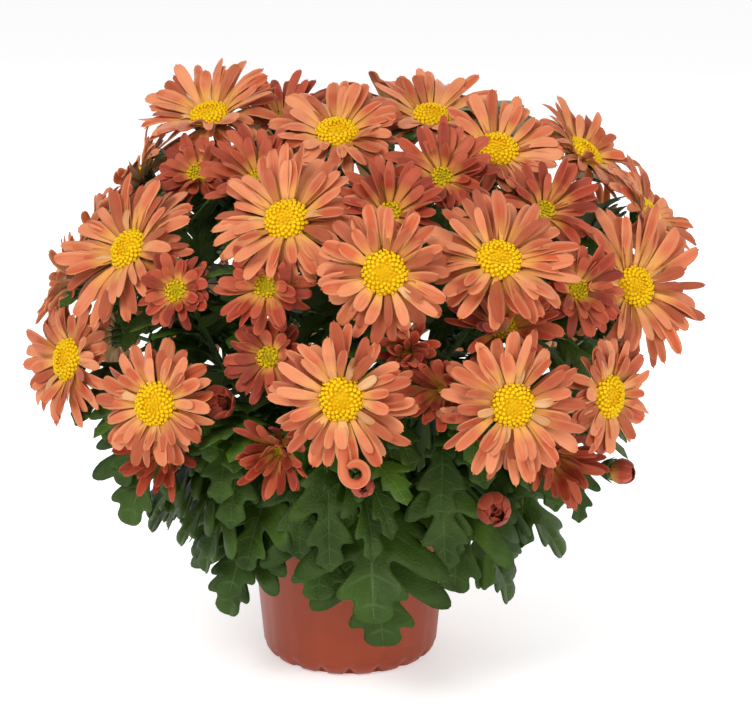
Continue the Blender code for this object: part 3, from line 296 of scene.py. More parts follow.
# The disc
DISC_DOME = 0.72  # of the solid disc's height
DISC_RISE = 1.6 * MM  # over the petals' band
DISC_DIMPLE = 0.34  # radius of the sunk middle, as a share of the disc's
CLOSED_FLORETS = 0.45  # radius of the florets that are still closed, as a share of the disc's

# Half outlines of the fine leaves, from the blade's foot to its tip: along, across, and the place on the
# midrib that the leaf's tissue spreads from. The last entry says whether a vein ends there.
LARGE_OUTLINE = (
    (0, 0.02, 0, 0), (0.06, 0.04, 0.03, 0), (0.105, 0.10, 0.055, 0), (0.135, 0.19, 0.08, 0),
    (0.18, 0.285, 0.105, 0), (0.22, 0.32, 0.125, 0), (0.245, 0.305, 0.145, 0), (0.255, 0.25, 0.16, 0),
    (0.29, 0.29, 0.175, 0), (0.355, 0.385, 0.195, 0), (0.415, 0.435, 0.215, 1), (0.452, 0.425, 0.24, 0),
    (0.455, 0.35, 0.265, 0), (0.41, 0.25, 0.29, 0), (0.38, 0.165, 0.315, 0), (0.375, 0.11, 0.335, 0),
    (0.405, 0.11, 0.355, 0), (0.455, 0.17, 0.375, 0), (0.52, 0.265, 0.395, 0), (0.57, 0.31, 0.415, 0),
    (0.596, 0.297, 0.435, 0), (0.605, 0.245, 0.45, 0), (0.645, 0.285, 0.465, 0), (0.70, 0.355, 0.485, 0),
    (0.765, 0.395, 0.51, 1), (0.802, 0.375, 0.54, 0), (0.795, 0.29, 0.57, 0), (0.74, 0.185, 0.60, 0),
    (0.70, 0.11, 0.63, 0), (0.725, 0.09, 0.66, 0), (0.775, 0.115, 0.69, 0), (0.83, 0.165, 0.73, 0),
    (0.868, 0.185, 0.77, 1), (0.892, 0.165, 0.81, 0), (0.89, 0.11, 0.84, 0), (0.915, 0.10, 0.88, 0),
    (0.955, 0.105, 0.92, 0), (0.992, 0.065, 0.96, 0), (1.01, 0, 1, 1),
)
SMALL_OUTLINE = (
    (0, 0.02, 0, 0), (0.09, 0.045, 0.05, 0), (0.16, 0.10, 0.09, 0), (0.235, 0.205, 0.13, 0),
    (0.285, 0.255, 0.165, 0), (0.316, 0.248, 0.195, 0), (0.335, 0.205, 0.215, 0), (0.385, 0.245, 0.24, 0),
    (0.47, 0.335, 0.27, 0), (0.535, 0.375, 0.305, 1), (0.572, 0.355, 0.345, 0), (0.572, 0.27, 0.385, 0),
    (0.53, 0.17, 0.425, 0), (0.525, 0.11, 0.46, 0), (0.56, 0.10, 0.495, 0), (0.615, 0.14, 0.53, 0),
    (0.685, 0.20, 0.575, 0), (0.735, 0.225, 0.62, 1), (0.762, 0.20, 0.665, 0), (0.76, 0.13, 0.705, 0),
    (0.80, 0.105, 0.75, 0), (0.865, 0.13, 0.80, 0), (0.905, 0.135, 0.85, 0), (0.93, 0.10, 0.90, 0),
    (0.97, 0.045, 0.95, 0), (1.02, 0, 1, 1),
)
PLAIN_OUTLINE = tuple(SMALL_OUTLINE[i] for i in (0, 2, 4, 6, 9, 11, 13, 17, 19, 22, 25))
LEAF_ROWS = 4  # from the midrib to the edge
LEAF_PUCKER = 1.1 * MM
LEAF_SKIN = 0.35 * MM
LEAF_CUP = 0.42  # how far the blade's sides bend down again, past its fold
LEAF_WAVE = 0.028  # of the blade's length, at its edge
TWIG_SIDES = 8
TWIG_STEPS = 16


def colour_setting(name, description, default):
    """A colour that the user can change."""
    return FloatVectorProperty(
        name=name, description=description, subtype="COLOR", default=default, min=0, max=1)


def angle_setting(name, description, degrees, most):
    """An angle that the user can change."""
    return FloatProperty(
        name=name, description=description, subtype="ANGLE", default=math.radians(degrees), min=0,
        max=math.radians(most))


class PetalSettings(bpy.types.PropertyGroup):
    """Colours and proportions of the petals and discs."""

    coral: colour_setting("Coral", "Main colour of an open bloom's petals", (0.60, 0.102, 0.030))
    young_coral: colour_setting(
        "Young coral", "Main colour of the younger side blooms' petals", (0.43, 0.041, 0.011))
    # The edge colour is a painted highlight along the petals' edges.
    edge: colour_setting("Edge", "Colour that the petals fade to at their edges", (0.82, 0.34, 0.155))
    foot: colour_setting("Foot", "Colour of the petals beside the disc", (0.76, 0.37, 0.065))
    reverse: colour_setting("Reverse", "Colour of the petals' backs", (0.78, 0.34, 0.16))
    floret: colour_setting("Floret", "Colour of the ripe florets of the disc", (0.92, 0.62, 0.004))
    unripe: colour_setting(
        "Unripe floret", "Colour of the closed florets at the middle of the disc", (0.86, 0.55, 0.004))
    width: FloatProperty(
        name="Width", description="Width of the petals, against the usual one", default=1.0, min=0.6, max=1.4)
    curl: angle_setting("Curl", "How far a petal's edges roll up at its foot", 70, 150)
    disorder: angle_setting("Disorder", "How far petals stray from an even ring", 8, 20)


class LeafSettings(bpy.types.PropertyGroup):
    """Colours and number of the leaves and stalks."""

    blade: colour_setting("Blade", "Main colour of the leaves", (0.049, 0.100, 0.008))
    shade: colour_setting("Shade", "Darker colour that clouds the leaves", (0.025, 0.056, 0.005))
    vein: colour_setting("Vein", "Colour of the veins", (0.085, 0.15, 0.035))
    back: colour_setting("Back", "Colour of the leaves' undersides", (0.065, 0.115, 0.040))
    stalk: colour_setting("Stalk", "Colour of the stems and stalks", (0.075, 0.15, 0.035))
    fillers: IntProperty(
        name="Inner leaves", description="Most leaves that fill the inside of the crown", default=260,
        min=0, max=400)


class PotSettings(bpy.types.PropertyGroup):
    """Colours of the pot and the soil."""

    terracotta: colour_setting("Terracotta", "Colour of the moulded plastic", (0.31, 0.041, 0.008))
    peat: colour_setting("Peat", "Colour of the soil", (0.032, 0.019, 0.011))
    lumps: IntProperty(
        name="Lumps", description="How many loose lumps lie on the soil", default=260, min=0, max=900)


class StageSettings(bpy.types.PropertyGroup):
    """The studio: floor, light and camera."""

    floor: colour_setting("Floor", "Colour of the floor", (0.90, 0.90, 0.90))
    key: FloatProperty(
        name="Key light", description="Power of the key light", subtype="POWER", default=21, min=0)
    fill: FloatProperty(
        name="Fill light", description="Power of the fill light", subtype="POWER", default=8, min=0)
    sky: FloatProperty(name="Sky", description="Strength of the light from all sides", default=0.58, min=0)
    glow: FloatProperty(
        name="Floor glow", description="Light that the floor adds, which keeps it white", default=0.42, min=0)
    distance: FloatProperty(
        name="Distance", description="From the camera to the plant", subtype="DISTANCE", default=1.3, min=0.5)
    pitch: FloatProperty(
        name="Pitch", description="How far the camera looks down", subtype="ANGLE", default=math.radians(15))
    lens: FloatProperty(
        name="Lens", description="Focal length of the camera in millimetres", default=110, min=20)


# The plant's layout


def heading(turn, lift):
    """The unit vector at this turn from the front and this lift, in degrees."""
    turn, lift = math.radians(turn), math.radians(lift)
    return Vector((math.sin(turn) * math.cos(lift), -math.cos(turn) * math.cos(lift), math.sin(lift)))


def stem_point(turn, rise):
    """The middle of a cutting's main stem, this far above the soil."""
    lean = STEM_LEAN * (max(rise, 0) / STEM_RISE) ** 1.5
    return (STEM_CIRCLE_RADIUS + lean) * heading(turn, 0) + Vector((0, 0, SOIL_HEIGHT + rise))


def bezier(a, b, c, d, count):
    """Points along a cubic curve, ends included."""
    made = []
    for i in range(count):
        t = i / (count - 1)
        s = 1 - t
        made.append(a * s ** 3 + b * (3 * s * s * t) + c * (3 * s * t * t) + d * t ** 3)
    return made


def path_frames(path, first):
    """A pair of crosswise unit vectors at each point of the path, turning no more than the path does."""
    made = []
    across = first
    for i in range(len(path)):
        along = (path[min(i + 1, len(path) - 1)] - path[max(i - 1, 0)]).normalized()
        across = (across - across.dot(along) * along).normalized()
        made.append((across, along.cross(across)))
    return made


def path_rings(path, radii, sides, first=None):
    """The corners of a solid stalk, ring by ring."""
    first = first or (path[1] - path[0]).orthogonal()
    angles = [2 * math.pi * i / sides for i in range(sides)]
    return [
        [point + radius * (math.cos(a) * across + math.sin(a) * other) for a in angles]
        for point, radius, (across, other) in zip(path, radii, path_frames(path, first))
    ]


def view_back(pitch):
    """The way from the plant towards the camera."""
    return Vector((0, -math.cos(pitch), math.sin(pitch)))


def seen_point(row):
    """The point at this depth that the usual camera shows at this pixel."""
    across, down, depth = row
    stage = bpy.context.scene.chrysanthemum_stage
    back = view_back(stage.pitch)
    above = Vector((0, back.z, -back.y))
    focus = stage.lens / SENSOR_WIDTH * VIEW_SIZE[0]
    start = VIEW_TARGET + back * stage.distance
    aside = Vector(((across - VIEW_SIZE[0] / 2) / focus, 0, 0))
    way = -back + aside - above * (down - VIEW_SIZE[1] / 2) / focus
    return start + way * (depth * MM - start.y) / way.y


def along_path(path, share):
    place = share * (len(path) - 1)
    return path[int(place)].lerp(path[min(int(place) + 1, len(path) - 1)], place - int(place))


class Solid:
    """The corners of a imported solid, which tell which of several drawn shapes it has."""

    FAR = 3 * MM

    def __init__(self, node):
        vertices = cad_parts[node].data.vertices
        self.corners = KDTree(len(vertices))
        for i, vertex in enumerate(vertices):
            self.corners.insert(vertex.co, i)
        self.corners.balance()

    def miss(self, points):
        """How far these points lie from the solid's corners, added up."""
        return sum(min(self.corners.find(point)[2], self.FAR) for point in points)

    def pick(self, options, corners_of):
        return min(options, key=lambda option: self.miss(corners_of(option)))


class Head:
    """One flower head: where it stands, which way it faces, and how its solid petals were bent."""

    def __init__(self, name, across, depth, height, turn, lift, width, stage):
        self.name = name
        self.foot = Vector((across, depth, height)) * MM
        self.face = heading(turn, lift)
        self.width = width * MM
        self.stage_name = stage
        self.is_bud = stage == "bud"
        self.stage = STAGES[stage]
        raised = 0.3 * max(lift - 30, 0)
        self.cup = [slope + raised for slope in self.stage["cup"]]
        self.up = (Vector((0, 0, 1)) - self.face.z * self.face).normalized()
        self.side = self.face.cross(self.up)
        self.draw = random.Random(name)
        self.spin = self.draw.uniform(0, 2 * math.pi)
        self.rays = [[], []]

    def at(self, radius, angle, height):
        return self.foot + radius * self.out(angle) + height * self.face

    def out(self, angle):
        return math.cos(angle) * self.up + math.sin(angle) * self.side

    def axes(self, angle):
        """The ways out, along the face and sideways at this angle, as arrays."""
        out = self.out(angle)
        return [np.array(way, float) for way in (out, self.face, self.face.cross(out))]

    def ray_specs(self):
        """(row, angle, length, slope change) of each solid ray. Row 0 is the low one."""
        count = self.stage["rows"]
        step = 2 * math.pi / count
        for row in (0, 1):
            for i in range(count):
                angle = self.spin + (i + 0.5 - 0.5 * row) * step + math.radians(self.draw.uniform(-4, 4))
                length = self.ray_length() * self.draw.uniform(0.92, 1.05) * (UPPER_ROW_REACH if row else 1)
                yield row, angle, length, self.draw.uniform(-5, 5) + UPPER_ROW_LIFT * row

    def ray_length(self):
        start, end = (math.radians(a) for a in self.cup)
        level = sum(math.cos(start + (end - start) * s) for s in (0.1, 0.3, 0.5, 0.7, 0.9)) / 5
        return (self.width / 2 - self.stage["core"]) / max(level, 0.45)

    def ray_tip(self, row, angle, length, slope):
        """The end of a solid ray."""
        start, end = (math.radians(a + slope) for a in self.cup)
        radius = self.stage["inner"] if row else self.stage["core"]
        height = self.stage["band"] if row else 0.0
        for i in range(1, RAY_STEPS + 1):
            lean = start + (end - start) * (i - 0.5) / RAY_STEPS
            radius += math.cos(lean) * length / RAY_STEPS
            height += math.sin(lean) * length / RAY_STEPS
        tip = self.at(radius, angle, height)
        if not self.stage["tip"]:
            return [tip]
        half = 0.5 * self.stage["ray"] * self.stage["tip"] * self.face.cross(self.out(angle))
        return [tip - half, tip + half]

    def read_rays(self, solid):
        """Learns each solid ray's length and slope, for the petals that take its place."""
        for row, angle, length, slope in self.ray_specs():
            options = [
                (length * reach, slope + (bend if row else -bend))
                for reach, bend in itertools.product(RAY_REACHES, RAY_BENDS)
            ]
            best = solid.pick(options, lambda option: self.ray_tip(row, angle, *option))
            self.rays[row].append((angle % (2 * math.pi), *best))
        for row in self.rays:
            row.sort()

    def guide(self, row, angle):
        """The length and slope that a petal at this angle takes from the solid rays on either side of it."""
        rays = self.rays[row]
        full = 2 * math.pi
        angle %= full
        for before, after in zip([(rays[-1][0] - full, *rays[-1][1:])] + rays,
                                 rays + [(rays[0][0] + full, *rays[0][1:])]):
            if before[0] <= angle <= after[0]:
                share = (angle - before[0]) / (after[0] - before[0])
                return tuple(b + (a - b) * share for b, a in zip(before[1:], after[1:]))
        return rays[0][1:]

    def stalk_ends(self, start, direction, bulge):
        """The four points that steer a stalk from its start to the foot of the calyx."""
        end = self.foot - (CALYX_HEIGHT + GAP) * self.face
        run = (end - start).length
        sideways = direction.cross(Vector((0, 0, 1))).normalized() * bulge * MM
        first = start + direction * run * STALK_ARMS[0] + sideways
        last = end - self.face * run * STALK_ARMS[1] + sideways
        return start, first, last, end

    def branch_corners(self, steer):
        path = bezier(*steer, 4)
        taper = STALK_RADIUS - BRANCH_RADIUS
        radii = [BRANCH_RADIUS + taper * i / 3 for i in range(4)] + [STALK_RADIUS] * 2
        path += [path[-1] + self.face * CALYX_HEIGHT * rise for rise in (CALYX_WAIST, 1.0)]
        rings = path_rings(path, radii, BRANCH_SIDES)
        return rings[1] + rings[2]

    def side_stalk_corners(self, steer):
        down = list(reversed(bezier(*steer, 4)))
        points = [self.foot - self.face * CALYX_HEIGHT * SIDE_CALYX_HEIGHT] + down
        sides = self.stage["rows"] // 2
        rings = path_rings(points, [STALK_RADIUS] * len(points), sides, self.out(self.spin))
        return rings[2] + rings[3]


def leaf_curve(foot, tip, s):
    """A point on a leaf's midrib, its upward normal and its sideways vector, at a share s of its length."""
    chord = tip - foot
    out = Vector((chord.x, chord.y, 0)).normalized()
    slope = math.atan2(chord.z, math.hypot(chord.x, chord.y))
    lowest, highest = (math.radians(a) for a in LEAF_LIFTS)
    lift = min(max(slope + math.radians(LEAF_ARCH), lowest), highest)
    droop = max(slope - math.radians(LEAF_DROOP), math.radians(LEAF_STEEPEST))
    reach = chord.length
    a = foot
    b = foot + (out * math.cos(lift) + Vector((0, 0, math.sin(lift)))) * reach * LEAF_ARMS[0]
    c = tip - (out * math.cos(droop) + Vector((0, 0, math.sin(droop)))) * reach * LEAF_ARMS[1]
    t = 1 - s
    point = a * t ** 3 + b * (3 * t * t * s) + c * (3 * t * s * s) + tip * s ** 3
    along = ((b - a) * (t * t) + (c - b) * (2 * t * s) + (tip - c) * (s * s)).normalized()
    sideways = out.cross(Vector((0, 0, 1)))
    return point, sideways.cross(along), sideways


class Leaf:
    """Where a leaf grows and where its tip is."""

    def __init__(self, foot, tip):
        self.foot = foot
        self.tip = tip
        points = [leaf_curve(foot, tip, i / 8)[0] for i in range(9)]
        self.length = sum((b - a).length for a, b in zip(points, points[1:]))
        self.large = self.length >= LARGE_FROM
        self.blade = self.length * (1 - PETIOLE_SHARE)

    def corners(self):
        """The tip and two lobes of the solid leaf."""
        along, across = LARGE_LOBE if self.large else SMALL_LOBE
        point, normal, sideways = leaf_curve(self.foot, self.tip, PETIOLE_SHARE + along * (1 - PETIOLE_SHARE))
        rise = normal * across * self.blade * math.sin(LEAF_FOLD)
        return [self.tip] + [point + sideways * sign * across * self.blade + rise for sign in (1, -1)]


def found_leaf(solid, foot, tip):
    """The leaf as its solid stands, or None where there is no such solid."""
    options = []
    for reach, (swing, rise) in itertools.product(LEAF_REACHES, LEAF_SHIFTS):
        chord = (tip - foot) * reach
        chord.rotate(Quaternion((0, 0, 1), math.radians(swing)))
        options.append(Leaf(foot, foot + chord + Vector((0, 0, rise * MM))))
    best = solid.pick(options, Leaf.corners)
    return best if solid.miss([best.tip]) < 0.5 * MM else None


class Spray:
    """A side spray: its own stalk, its heads with their stalks, and its leaves."""

    def __init__(self, name, number, rise, rows):
        solid = Solid(name)
        self.heads = [Head(f"{name}_head_{i + 1}", *row) for i, row in enumerate(rows)]
        middle = sum((head.foot for head in self.heads), Vector()) / len(self.heads)
        options = [
            self.trunk_steer(number, rise + shift, middle, share, bulge)
            for shift, share, bulge in itertools.product(FOOT_SHIFTS, FORK_SHARES, STALK_BULGES)
        ]
        self.trunk = solid.pick(options, self.trunk_corners)
        trunk = bezier(*self.trunk, 3)
        leaving = (trunk[-1] - trunk[-2]).normalized()
        first = trunk[-1] - leaving * 2 * MM
        self.stalks = []
        for head in self.heads:
            way = (leaving + (head.foot - trunk[-1]).normalized()).normalized()
            steers = [head.stalk_ends(first, way, bulge) for bulge in STALK_BULGES]
            self.stalks.append(solid.pick(steers, head.side_stalk_corners))
            if not head.is_bud:
                head.read_rays(solid)
        lean = trunk[-1] - trunk[0]
        outward = math.degrees(math.atan2(lean.x, -lean.y))
        self.leaves = []
        for share, turn in SPRAY_LEAVES if name in LEAFY_SPRAYS else ():
            foot = along_path(trunk, share)
            leaf = found_leaf(solid, foot, foot + INNER_LENGTH * heading(outward + turn, SPRAY_LEAF_LIFT))
            if leaf:
                self.leaves.append(leaf)

    @staticmethod
    def trunk_steer(number, rise, middle, share, bulge):
        stem = stem_point(CUTTING_TURNS[number], rise * MM)
        away = middle - stem
        direction = (Vector((away.x, away.y, 0)).normalized() + Vector((0, 0, SPRAY_CLIMB))).normalized()
        level = math.hypot(direction.x, direction.y)
        start = stem + direction * (STEM_RADIUS + 2 * GAP + BRANCH_RADIUS * direction.z) / level
        sideways = direction.cross(Vector((0, 0, 1))).normalized()
        fork = stem + away * share + sideways * bulge * MM
        return start, start + direction * away.length * 0.2, fork - away * 0.12, fork

    @staticmethod
    def trunk_corners(steer):
        rings = path_rings(bezier(*steer, 3), [BRANCH_RADIUS] * 3, BRANCH_SIDES)
        return rings[0] + rings[1]


@functools.lru_cache(maxsize=1)
def plant():
    """The heads, branches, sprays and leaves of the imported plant, as it was grown."""
    cuttings = [Solid(f"cutting_{i + 1}") for i in range(len(CUTTING_TURNS))]
    heads = {name: Head(name, *row[1:]) for name, row in BLOOMS.items()}
    branches = {}
    for number, solid in enumerate(cuttings):
        names = sorted((n for n, row in BLOOMS.items() if row[0] == number), key=lambda n: heads[n].foot.z)
        for i, name in enumerate(names):
            head = heads[name]
            lowest, highest = BRANCH_PLACES
            share = lowest + (highest - lowest) * i / max(len(names) - 1, 1)
            foot = stem_point(CUTTING_TURNS[number], STEM_RISE * share)
            away = head.foot - foot
            direction = (Vector((away.x, away.y, 0)).normalized() + Vector((0, 0, BRANCH_CLIMB))).normalized()
            steers = [head.stalk_ends(foot, direction, bulge) for bulge in STALK_BULGES]
            branches[name] = (number, solid.pick(steers, head.branch_corners))
    for name, head in heads.items():
        head.read_rays(Solid(name + "_rays"))
    sprays = {name: Spray(name, *row) for name, row in SPRAYS.items()}

    leaves = {number: [] for number in range(len(CUTTING_TURNS))}
    wanted = [
        (number, stem_point(CUTTING_TURNS[number], rise * MM), Vector(tip) * MM)
        for number, rise, *tip in SKIRT
    ]
    for name, share, *tip in CROWN:
        number, steer = branches[name]
        wanted.append((number, along_path(bezier(*steer, 4), share), Vector(tip) * MM))
    for i, (number, steer) in enumerate(list(branches.values())[::2]):
        foot = along_path(bezier(*steer, 4), INNER_SHARE)
        wanted.append((number, foot, foot + INNER_LENGTH * heading(GOLDEN_ANGLE * i, INNER_LIFT)))
    for number, foot, tip in wanted:
        leaf = found_leaf(cuttings[number], foot, tip)
        if leaf:
            leaves[number].append(leaf)
    return heads, branches, sprays, leaves


# Models and pieces


def nothing_selected():
    if bpy.context.mode != "OBJECT":
        bpy.ops.object.mode_set(mode="OBJECT")
    bpy.ops.object.select_all(action="DESELECT")


def selected_only(thing):
    nothing_selected()
    thing.select_set(True)
    bpy.context.view_layer.objects.active = thing


@contextlib.contextmanager
def editing(thing):
    """Edit mode on this object, with all of it selected."""
    selected_only(thing)
    bpy.ops.object.mode_set(mode="EDIT")
    bpy.ops.mesh.select_all(action="SELECT")
    yield
    bpy.ops.object.mode_set(mode="OBJECT")


def thickened(thing, thickness):
    """Gives a sheet its back, whose faces take the second material."""
    selected_only(thing)
    wall = thing.modifiers.new("wall", "SOLIDIFY")
    wall.thickness = thickness
    wall.offset = -1
    wall.material_offset = 1
    wall.material_offset_rim = 0
    thing.data.materials.append(None)
    thing.data.materials.append(None)
    bpy.ops.object.modifier_apply(modifier="wall")


class Model:
    """A modelled shape as arrays, to be copied and bent into place. The modelled object is used up."""

    def __init__(self, thing):
        mesh = thing.data
        self.points = np.empty(len(mesh.vertices) * 3)
        mesh.vertices.foreach_get("co", self.points)
        self.points = self.points.reshape(-1, 3)
        self.faces = [tuple(polygon.vertices) for polygon in mesh.polygons]
        self.paints = [polygon.material_index for polygon in mesh.polygons]
        self.uvs = np.empty(len(mesh.loops) * 2)
        mesh.uv_layers.active.data.foreach_get("uv", self.uvs)
        bpy.data.objects.remove(thing, do_unlink=True)


class Bunch:
    """Copies of models, bent into place, that become one piece."""

    def __init__(self):
        self.points = []
        self.faces = []
        self.paints = []
        self.uvs = []
        self.shades = []
        self.count = 0

    def add(self, model, points, paint=None, shade=0.5):
        self.points.append(points)
        self.faces += [tuple(v + self.count for v in face) for face in model.faces]
        self.paints += model.paints if paint is None else [paint] * len(model.paints)
        self.uvs.append(model.uvs)
        self.shades.append(np.full(len(points), shade))
        self.count += len(points)

    def piece(self, name, slot, nodes, *materials):
        mesh = bpy.data.meshes.new(name)
        mesh.from_pydata(np.concatenate(self.points).tolist(), [], self.faces)
        for finish in materials:
            mesh.materials.append(finish)
        mesh.polygons.foreach_set("material_index", self.paints)
        mesh.uv_layers.new(name="Surface").data.foreach_set("uv", np.concatenate(self.uvs))
        shades = mesh.attributes.new("shade", "FLOAT", "POINT")
        shades.data.foreach_set("value", np.concatenate(self.shades))
        mesh.shade_smooth()
        thing = bpy.data.objects.new(name, mesh)
        bpy.context.scene.collection.objects.link(thing)
        return dressed(thing, nodes)


def dressed(thing, nodes):
    """Makes the finished object a piece of the plant."""
    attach(thing, "root")
    if nodes:
        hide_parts(*nodes)
    return thing


def grid_rows(thing, rows):
    """The grid's vertices, row by row from the foot, each row from left to right."""
    vertices = sorted(thing.data.vertices, key=lambda v: (round(v.co.y, 4), round(v.co.x, 4)))
    width = len(vertices) // rows
    return [vertices[i * width:(i + 1) * width] for i in range(rows)]


def new_grid(across, along):
    nothing_selected()
    bpy.ops.mesh.primitive_grid_add(x_subdivisions=across, y_subdivisions=along, size=2, calc_uvs=True)
    return bpy.context.object


@functools.lru_cache(maxsize=1)
def petal_model():
    """A grooved petal laid flat: x runs from edge to edge (-1 to 1) and y from foot to tip (0 to 1)."""
    sheet = new_grid(PETAL_COLUMNS, len(PETAL_SHARES) - 1)
    for along, row in zip(PETAL_SHARES, grid_rows(sheet, len(PETAL_SHARES))):
        width = np.interp(along, *zip(*PETAL_WIDTHS))
        for column, vertex in enumerate(row):
            across = 2 * column / PETAL_COLUMNS - 1
            depth = PETAL_GROOVE * (1 if column % 2 else 0) * math.sin(math.pi * min(along * 1.1, 1)) ** 0.5
            # the tip's middle stands a little further out than its corners
            bow = (0.035 * (1 - across * across) - 0.03 * (column % 2)) if along > 0.97 else 0.0
            vertex.co = (across * width, along + bow, -depth)
    thickened(sheet, PETAL_THICKNESS)
    return Model(sheet)


def smoothed(outline):
    """The outline with a point added between each pair, on a curve through all of them."""
    rows = np.array(outline, float)
    made = [rows[0]]
    for i in range(len(rows) - 1):
        before = rows[max(i - 1, 0)]
        after = rows[min(i + 2, len(rows) - 1)]
        between = (9 * (rows[i] + rows[i + 1]) - before - after) / 16
        between[3] = 0
        made += [between, rows[i + 1]]
    return np.array(made)


def leaf_sheet(outline, rows):
    """A leaf's blade laid flat: x across and y along, as shares of its length, puckered between its veins."""
    outline = np.array(outline, float)
    count = len(outline)
    veins = np.array([i for i in range(count) if outline[i][3]])
    sheet = new_grid(2 * rows, count - 1)
    for i, row in enumerate(grid_rows(sheet, count)):
        along, across, rib, _ = outline[i]
        nearest = min(abs(veins - i)) / (count / len(veins) / 2)
        for column, vertex in enumerate(row):
            side = column / rows - 1
            share = abs(side)
            pucker = min(nearest, 1) * math.sin(math.pi * min(share * 1.15, 1)) * LEAF_PUCKER
            # the tissue leaves the midrib at a slant that eases off towards the edge
            place = rib + (along - rib) * share ** 1.15
            vertex.co = (math.copysign(across * share, side), place, pucker)
    with editing(sheet):
        bpy.ops.mesh.remove_doubles(threshold=1e-5)
    thickened(sheet, LEAF_SKIN)
    return Model(sheet)


@functools.lru_cache(maxsize=3)
def leaf_model(kind):
    """The plain kind, with few faces, is for the many leaves inside the crown."""
    if kind == "large":
        return leaf_sheet(smoothed(LARGE_OUTLINE), LEAF_ROWS)
    if kind == "small":
        return leaf_sheet(smoothed(SMALL_OUTLINE), LEAF_ROWS)
    return leaf_sheet(PLAIN_OUTLINE, 1)


@functools.lru_cache(maxsize=None)
def rod_model(sides, cuts):
    """A closed rod along y from 0 to 1, of radius 1, with rounded shoulders at its ends."""
    nothing_selected()
    bpy.ops.mesh.primitive_cylinder_add(
        vertices=sides, radius=1, depth=1, end_fill_type="TRIFAN", location=(0, 0.5, 0),
        rotation=(math.pi / 2, 0, 0), calc_uvs=True)
    rod = bpy.context.object
    bpy.ops.object.transform_apply(location=True, rotation=True, scale=True)
    for cut in range(1, cuts):
        with editing(rod):
            bpy.ops.mesh.bisect(plane_co=(0, cut / cuts, 0), plane_no=(0, 1, 0))
    return Model(rod)


@functools.lru_cache(maxsize=1)
def floret_model():
    """A disc floret: a little tube with a flared, dimpled mouth, of radius 1 and height 1 over z = 0."""
    nothing_selected()
    bpy.ops.mesh.primitive_cylinder_add(
        vertices=6, radius=0.62, depth=1.6, end_fill_type="NGON", location=(0, 0, 0.2), calc_uvs=True)
    floret = bpy.context.object
    bpy.ops.object.transform_apply(location=True, rotation=True, scale=True)
    selected_only(floret)
    bpy.ops.object.mode_set(mode="EDIT")
    bpy.ops.mesh.select_all(action="DESELECT")
    bpy.ops.object.mode_set(mode="OBJECT")
    for polygon in floret.data.polygons:
        polygon.select = polygon.normal.z > 0.9
    bpy.ops.object.mode_set(mode="EDIT")
    bpy.ops.transform.resize(value=(1.55, 1.55, 1), center_override=(0, 0, 1))
    bpy.ops.mesh.inset(thickness=0.5, depth=0)
    bpy.ops.transform.translate(value=(0, 0, -0.4))
    bpy.ops.mesh.select_all(action="SELECT")
    bpy.ops.mesh.quads_convert_to_tris()
    bpy.ops.object.mode_set(mode="OBJECT")
    return Model(floret)


@functools.lru_cache(maxsize=1)
def bract_model():
    """A pointed bract laid flat, as a petal is."""
    widths = ((0, 0.8), (0.4, 1.0), (0.75, 0.62), (1.0, 0.06))
    sheet = new_grid(2, len(widths) - 1)
    for (along, width), row in zip(widths, grid_rows(sheet, len(widths))):
        for column, vertex in enumerate(row):
            across = column - 1
            vertex.co = (across * width, along, -0.15 * MM * abs(across))
    thickened(sheet, 0.3 * MM)
    return Model(sheet)


def petal_line(head, angle, length, leans, slants, radius, height, along):
    """The petal's middle line, the way it faces and its sideways vector, at each share of its length. The
    slants are how steeply each short step of it climbs."""
    step = (PETAL_STEPS[1] - PETAL_STEPS[0]) * length
    radii = radius + np.concatenate(([0], np.cumsum(np.cos(slants)) * step))
    heights = height + np.concatenate(([0], np.cumsum(np.sin(slants)) * step))
    lean = np.interp(along, PETAL_STEPS, leans)
    out, face, side = head.axes(angle)
    middle = (
        np.array(head.foot)
        + np.interp(along, PETAL_STEPS, radii)[:, None] * out
        + np.interp(along, PETAL_STEPS, heights)[:, None] * face
    )
    return middle, np.cos(lean)[:, None] * face - np.sin(lean)[:, None] * out, side


def petal_points(model, head, row, angle, length, slopes, half, curl, twist, sway, wave=(0, 0)):
    """The petal's points on its head. The wave is how far its slope swings, and from where."""
    across, along, relief = model.points.T
    start, end = slopes
    radius = (head.stage["inner"] if row else head.stage["core"]) - ROOT_DEPTH
    height = head.stage["band"] * min(row, 1) + PETAL_ROW_RISES[row]
    leans = start + (end - start) * np.minimum(PETAL_STEPS, 1)
    leans = leans + wave[0] * (np.sin(7 * PETAL_STEPS + wave[1]) - math.sin(wave[1])) * PETAL_STEPS
    middles = (leans[1:] + leans[:-1]) / 2
    middle, normal, side = petal_line(head, angle, length, leans, middles, radius, height, along)
    middle = middle + (sway * length * along ** 2)[:, None] * side
    # a petal is rolled at its foot and opens towards its tip
    roll = np.maximum(curl * (1 - 0.75 * np.minimum(along * 1.3, 1)), 0.05)
    bowed = np.sin(across * roll) / roll * half
    raised = (1 - np.cos(across * roll)) / roll * half + relief
    turn = twist * along
    x = np.cos(turn) * bowed - np.sin(turn) * raised
    z = np.sin(turn) * bowed + np.cos(turn) * raised
    return middle + x[:, None] * side + z[:, None] * normal


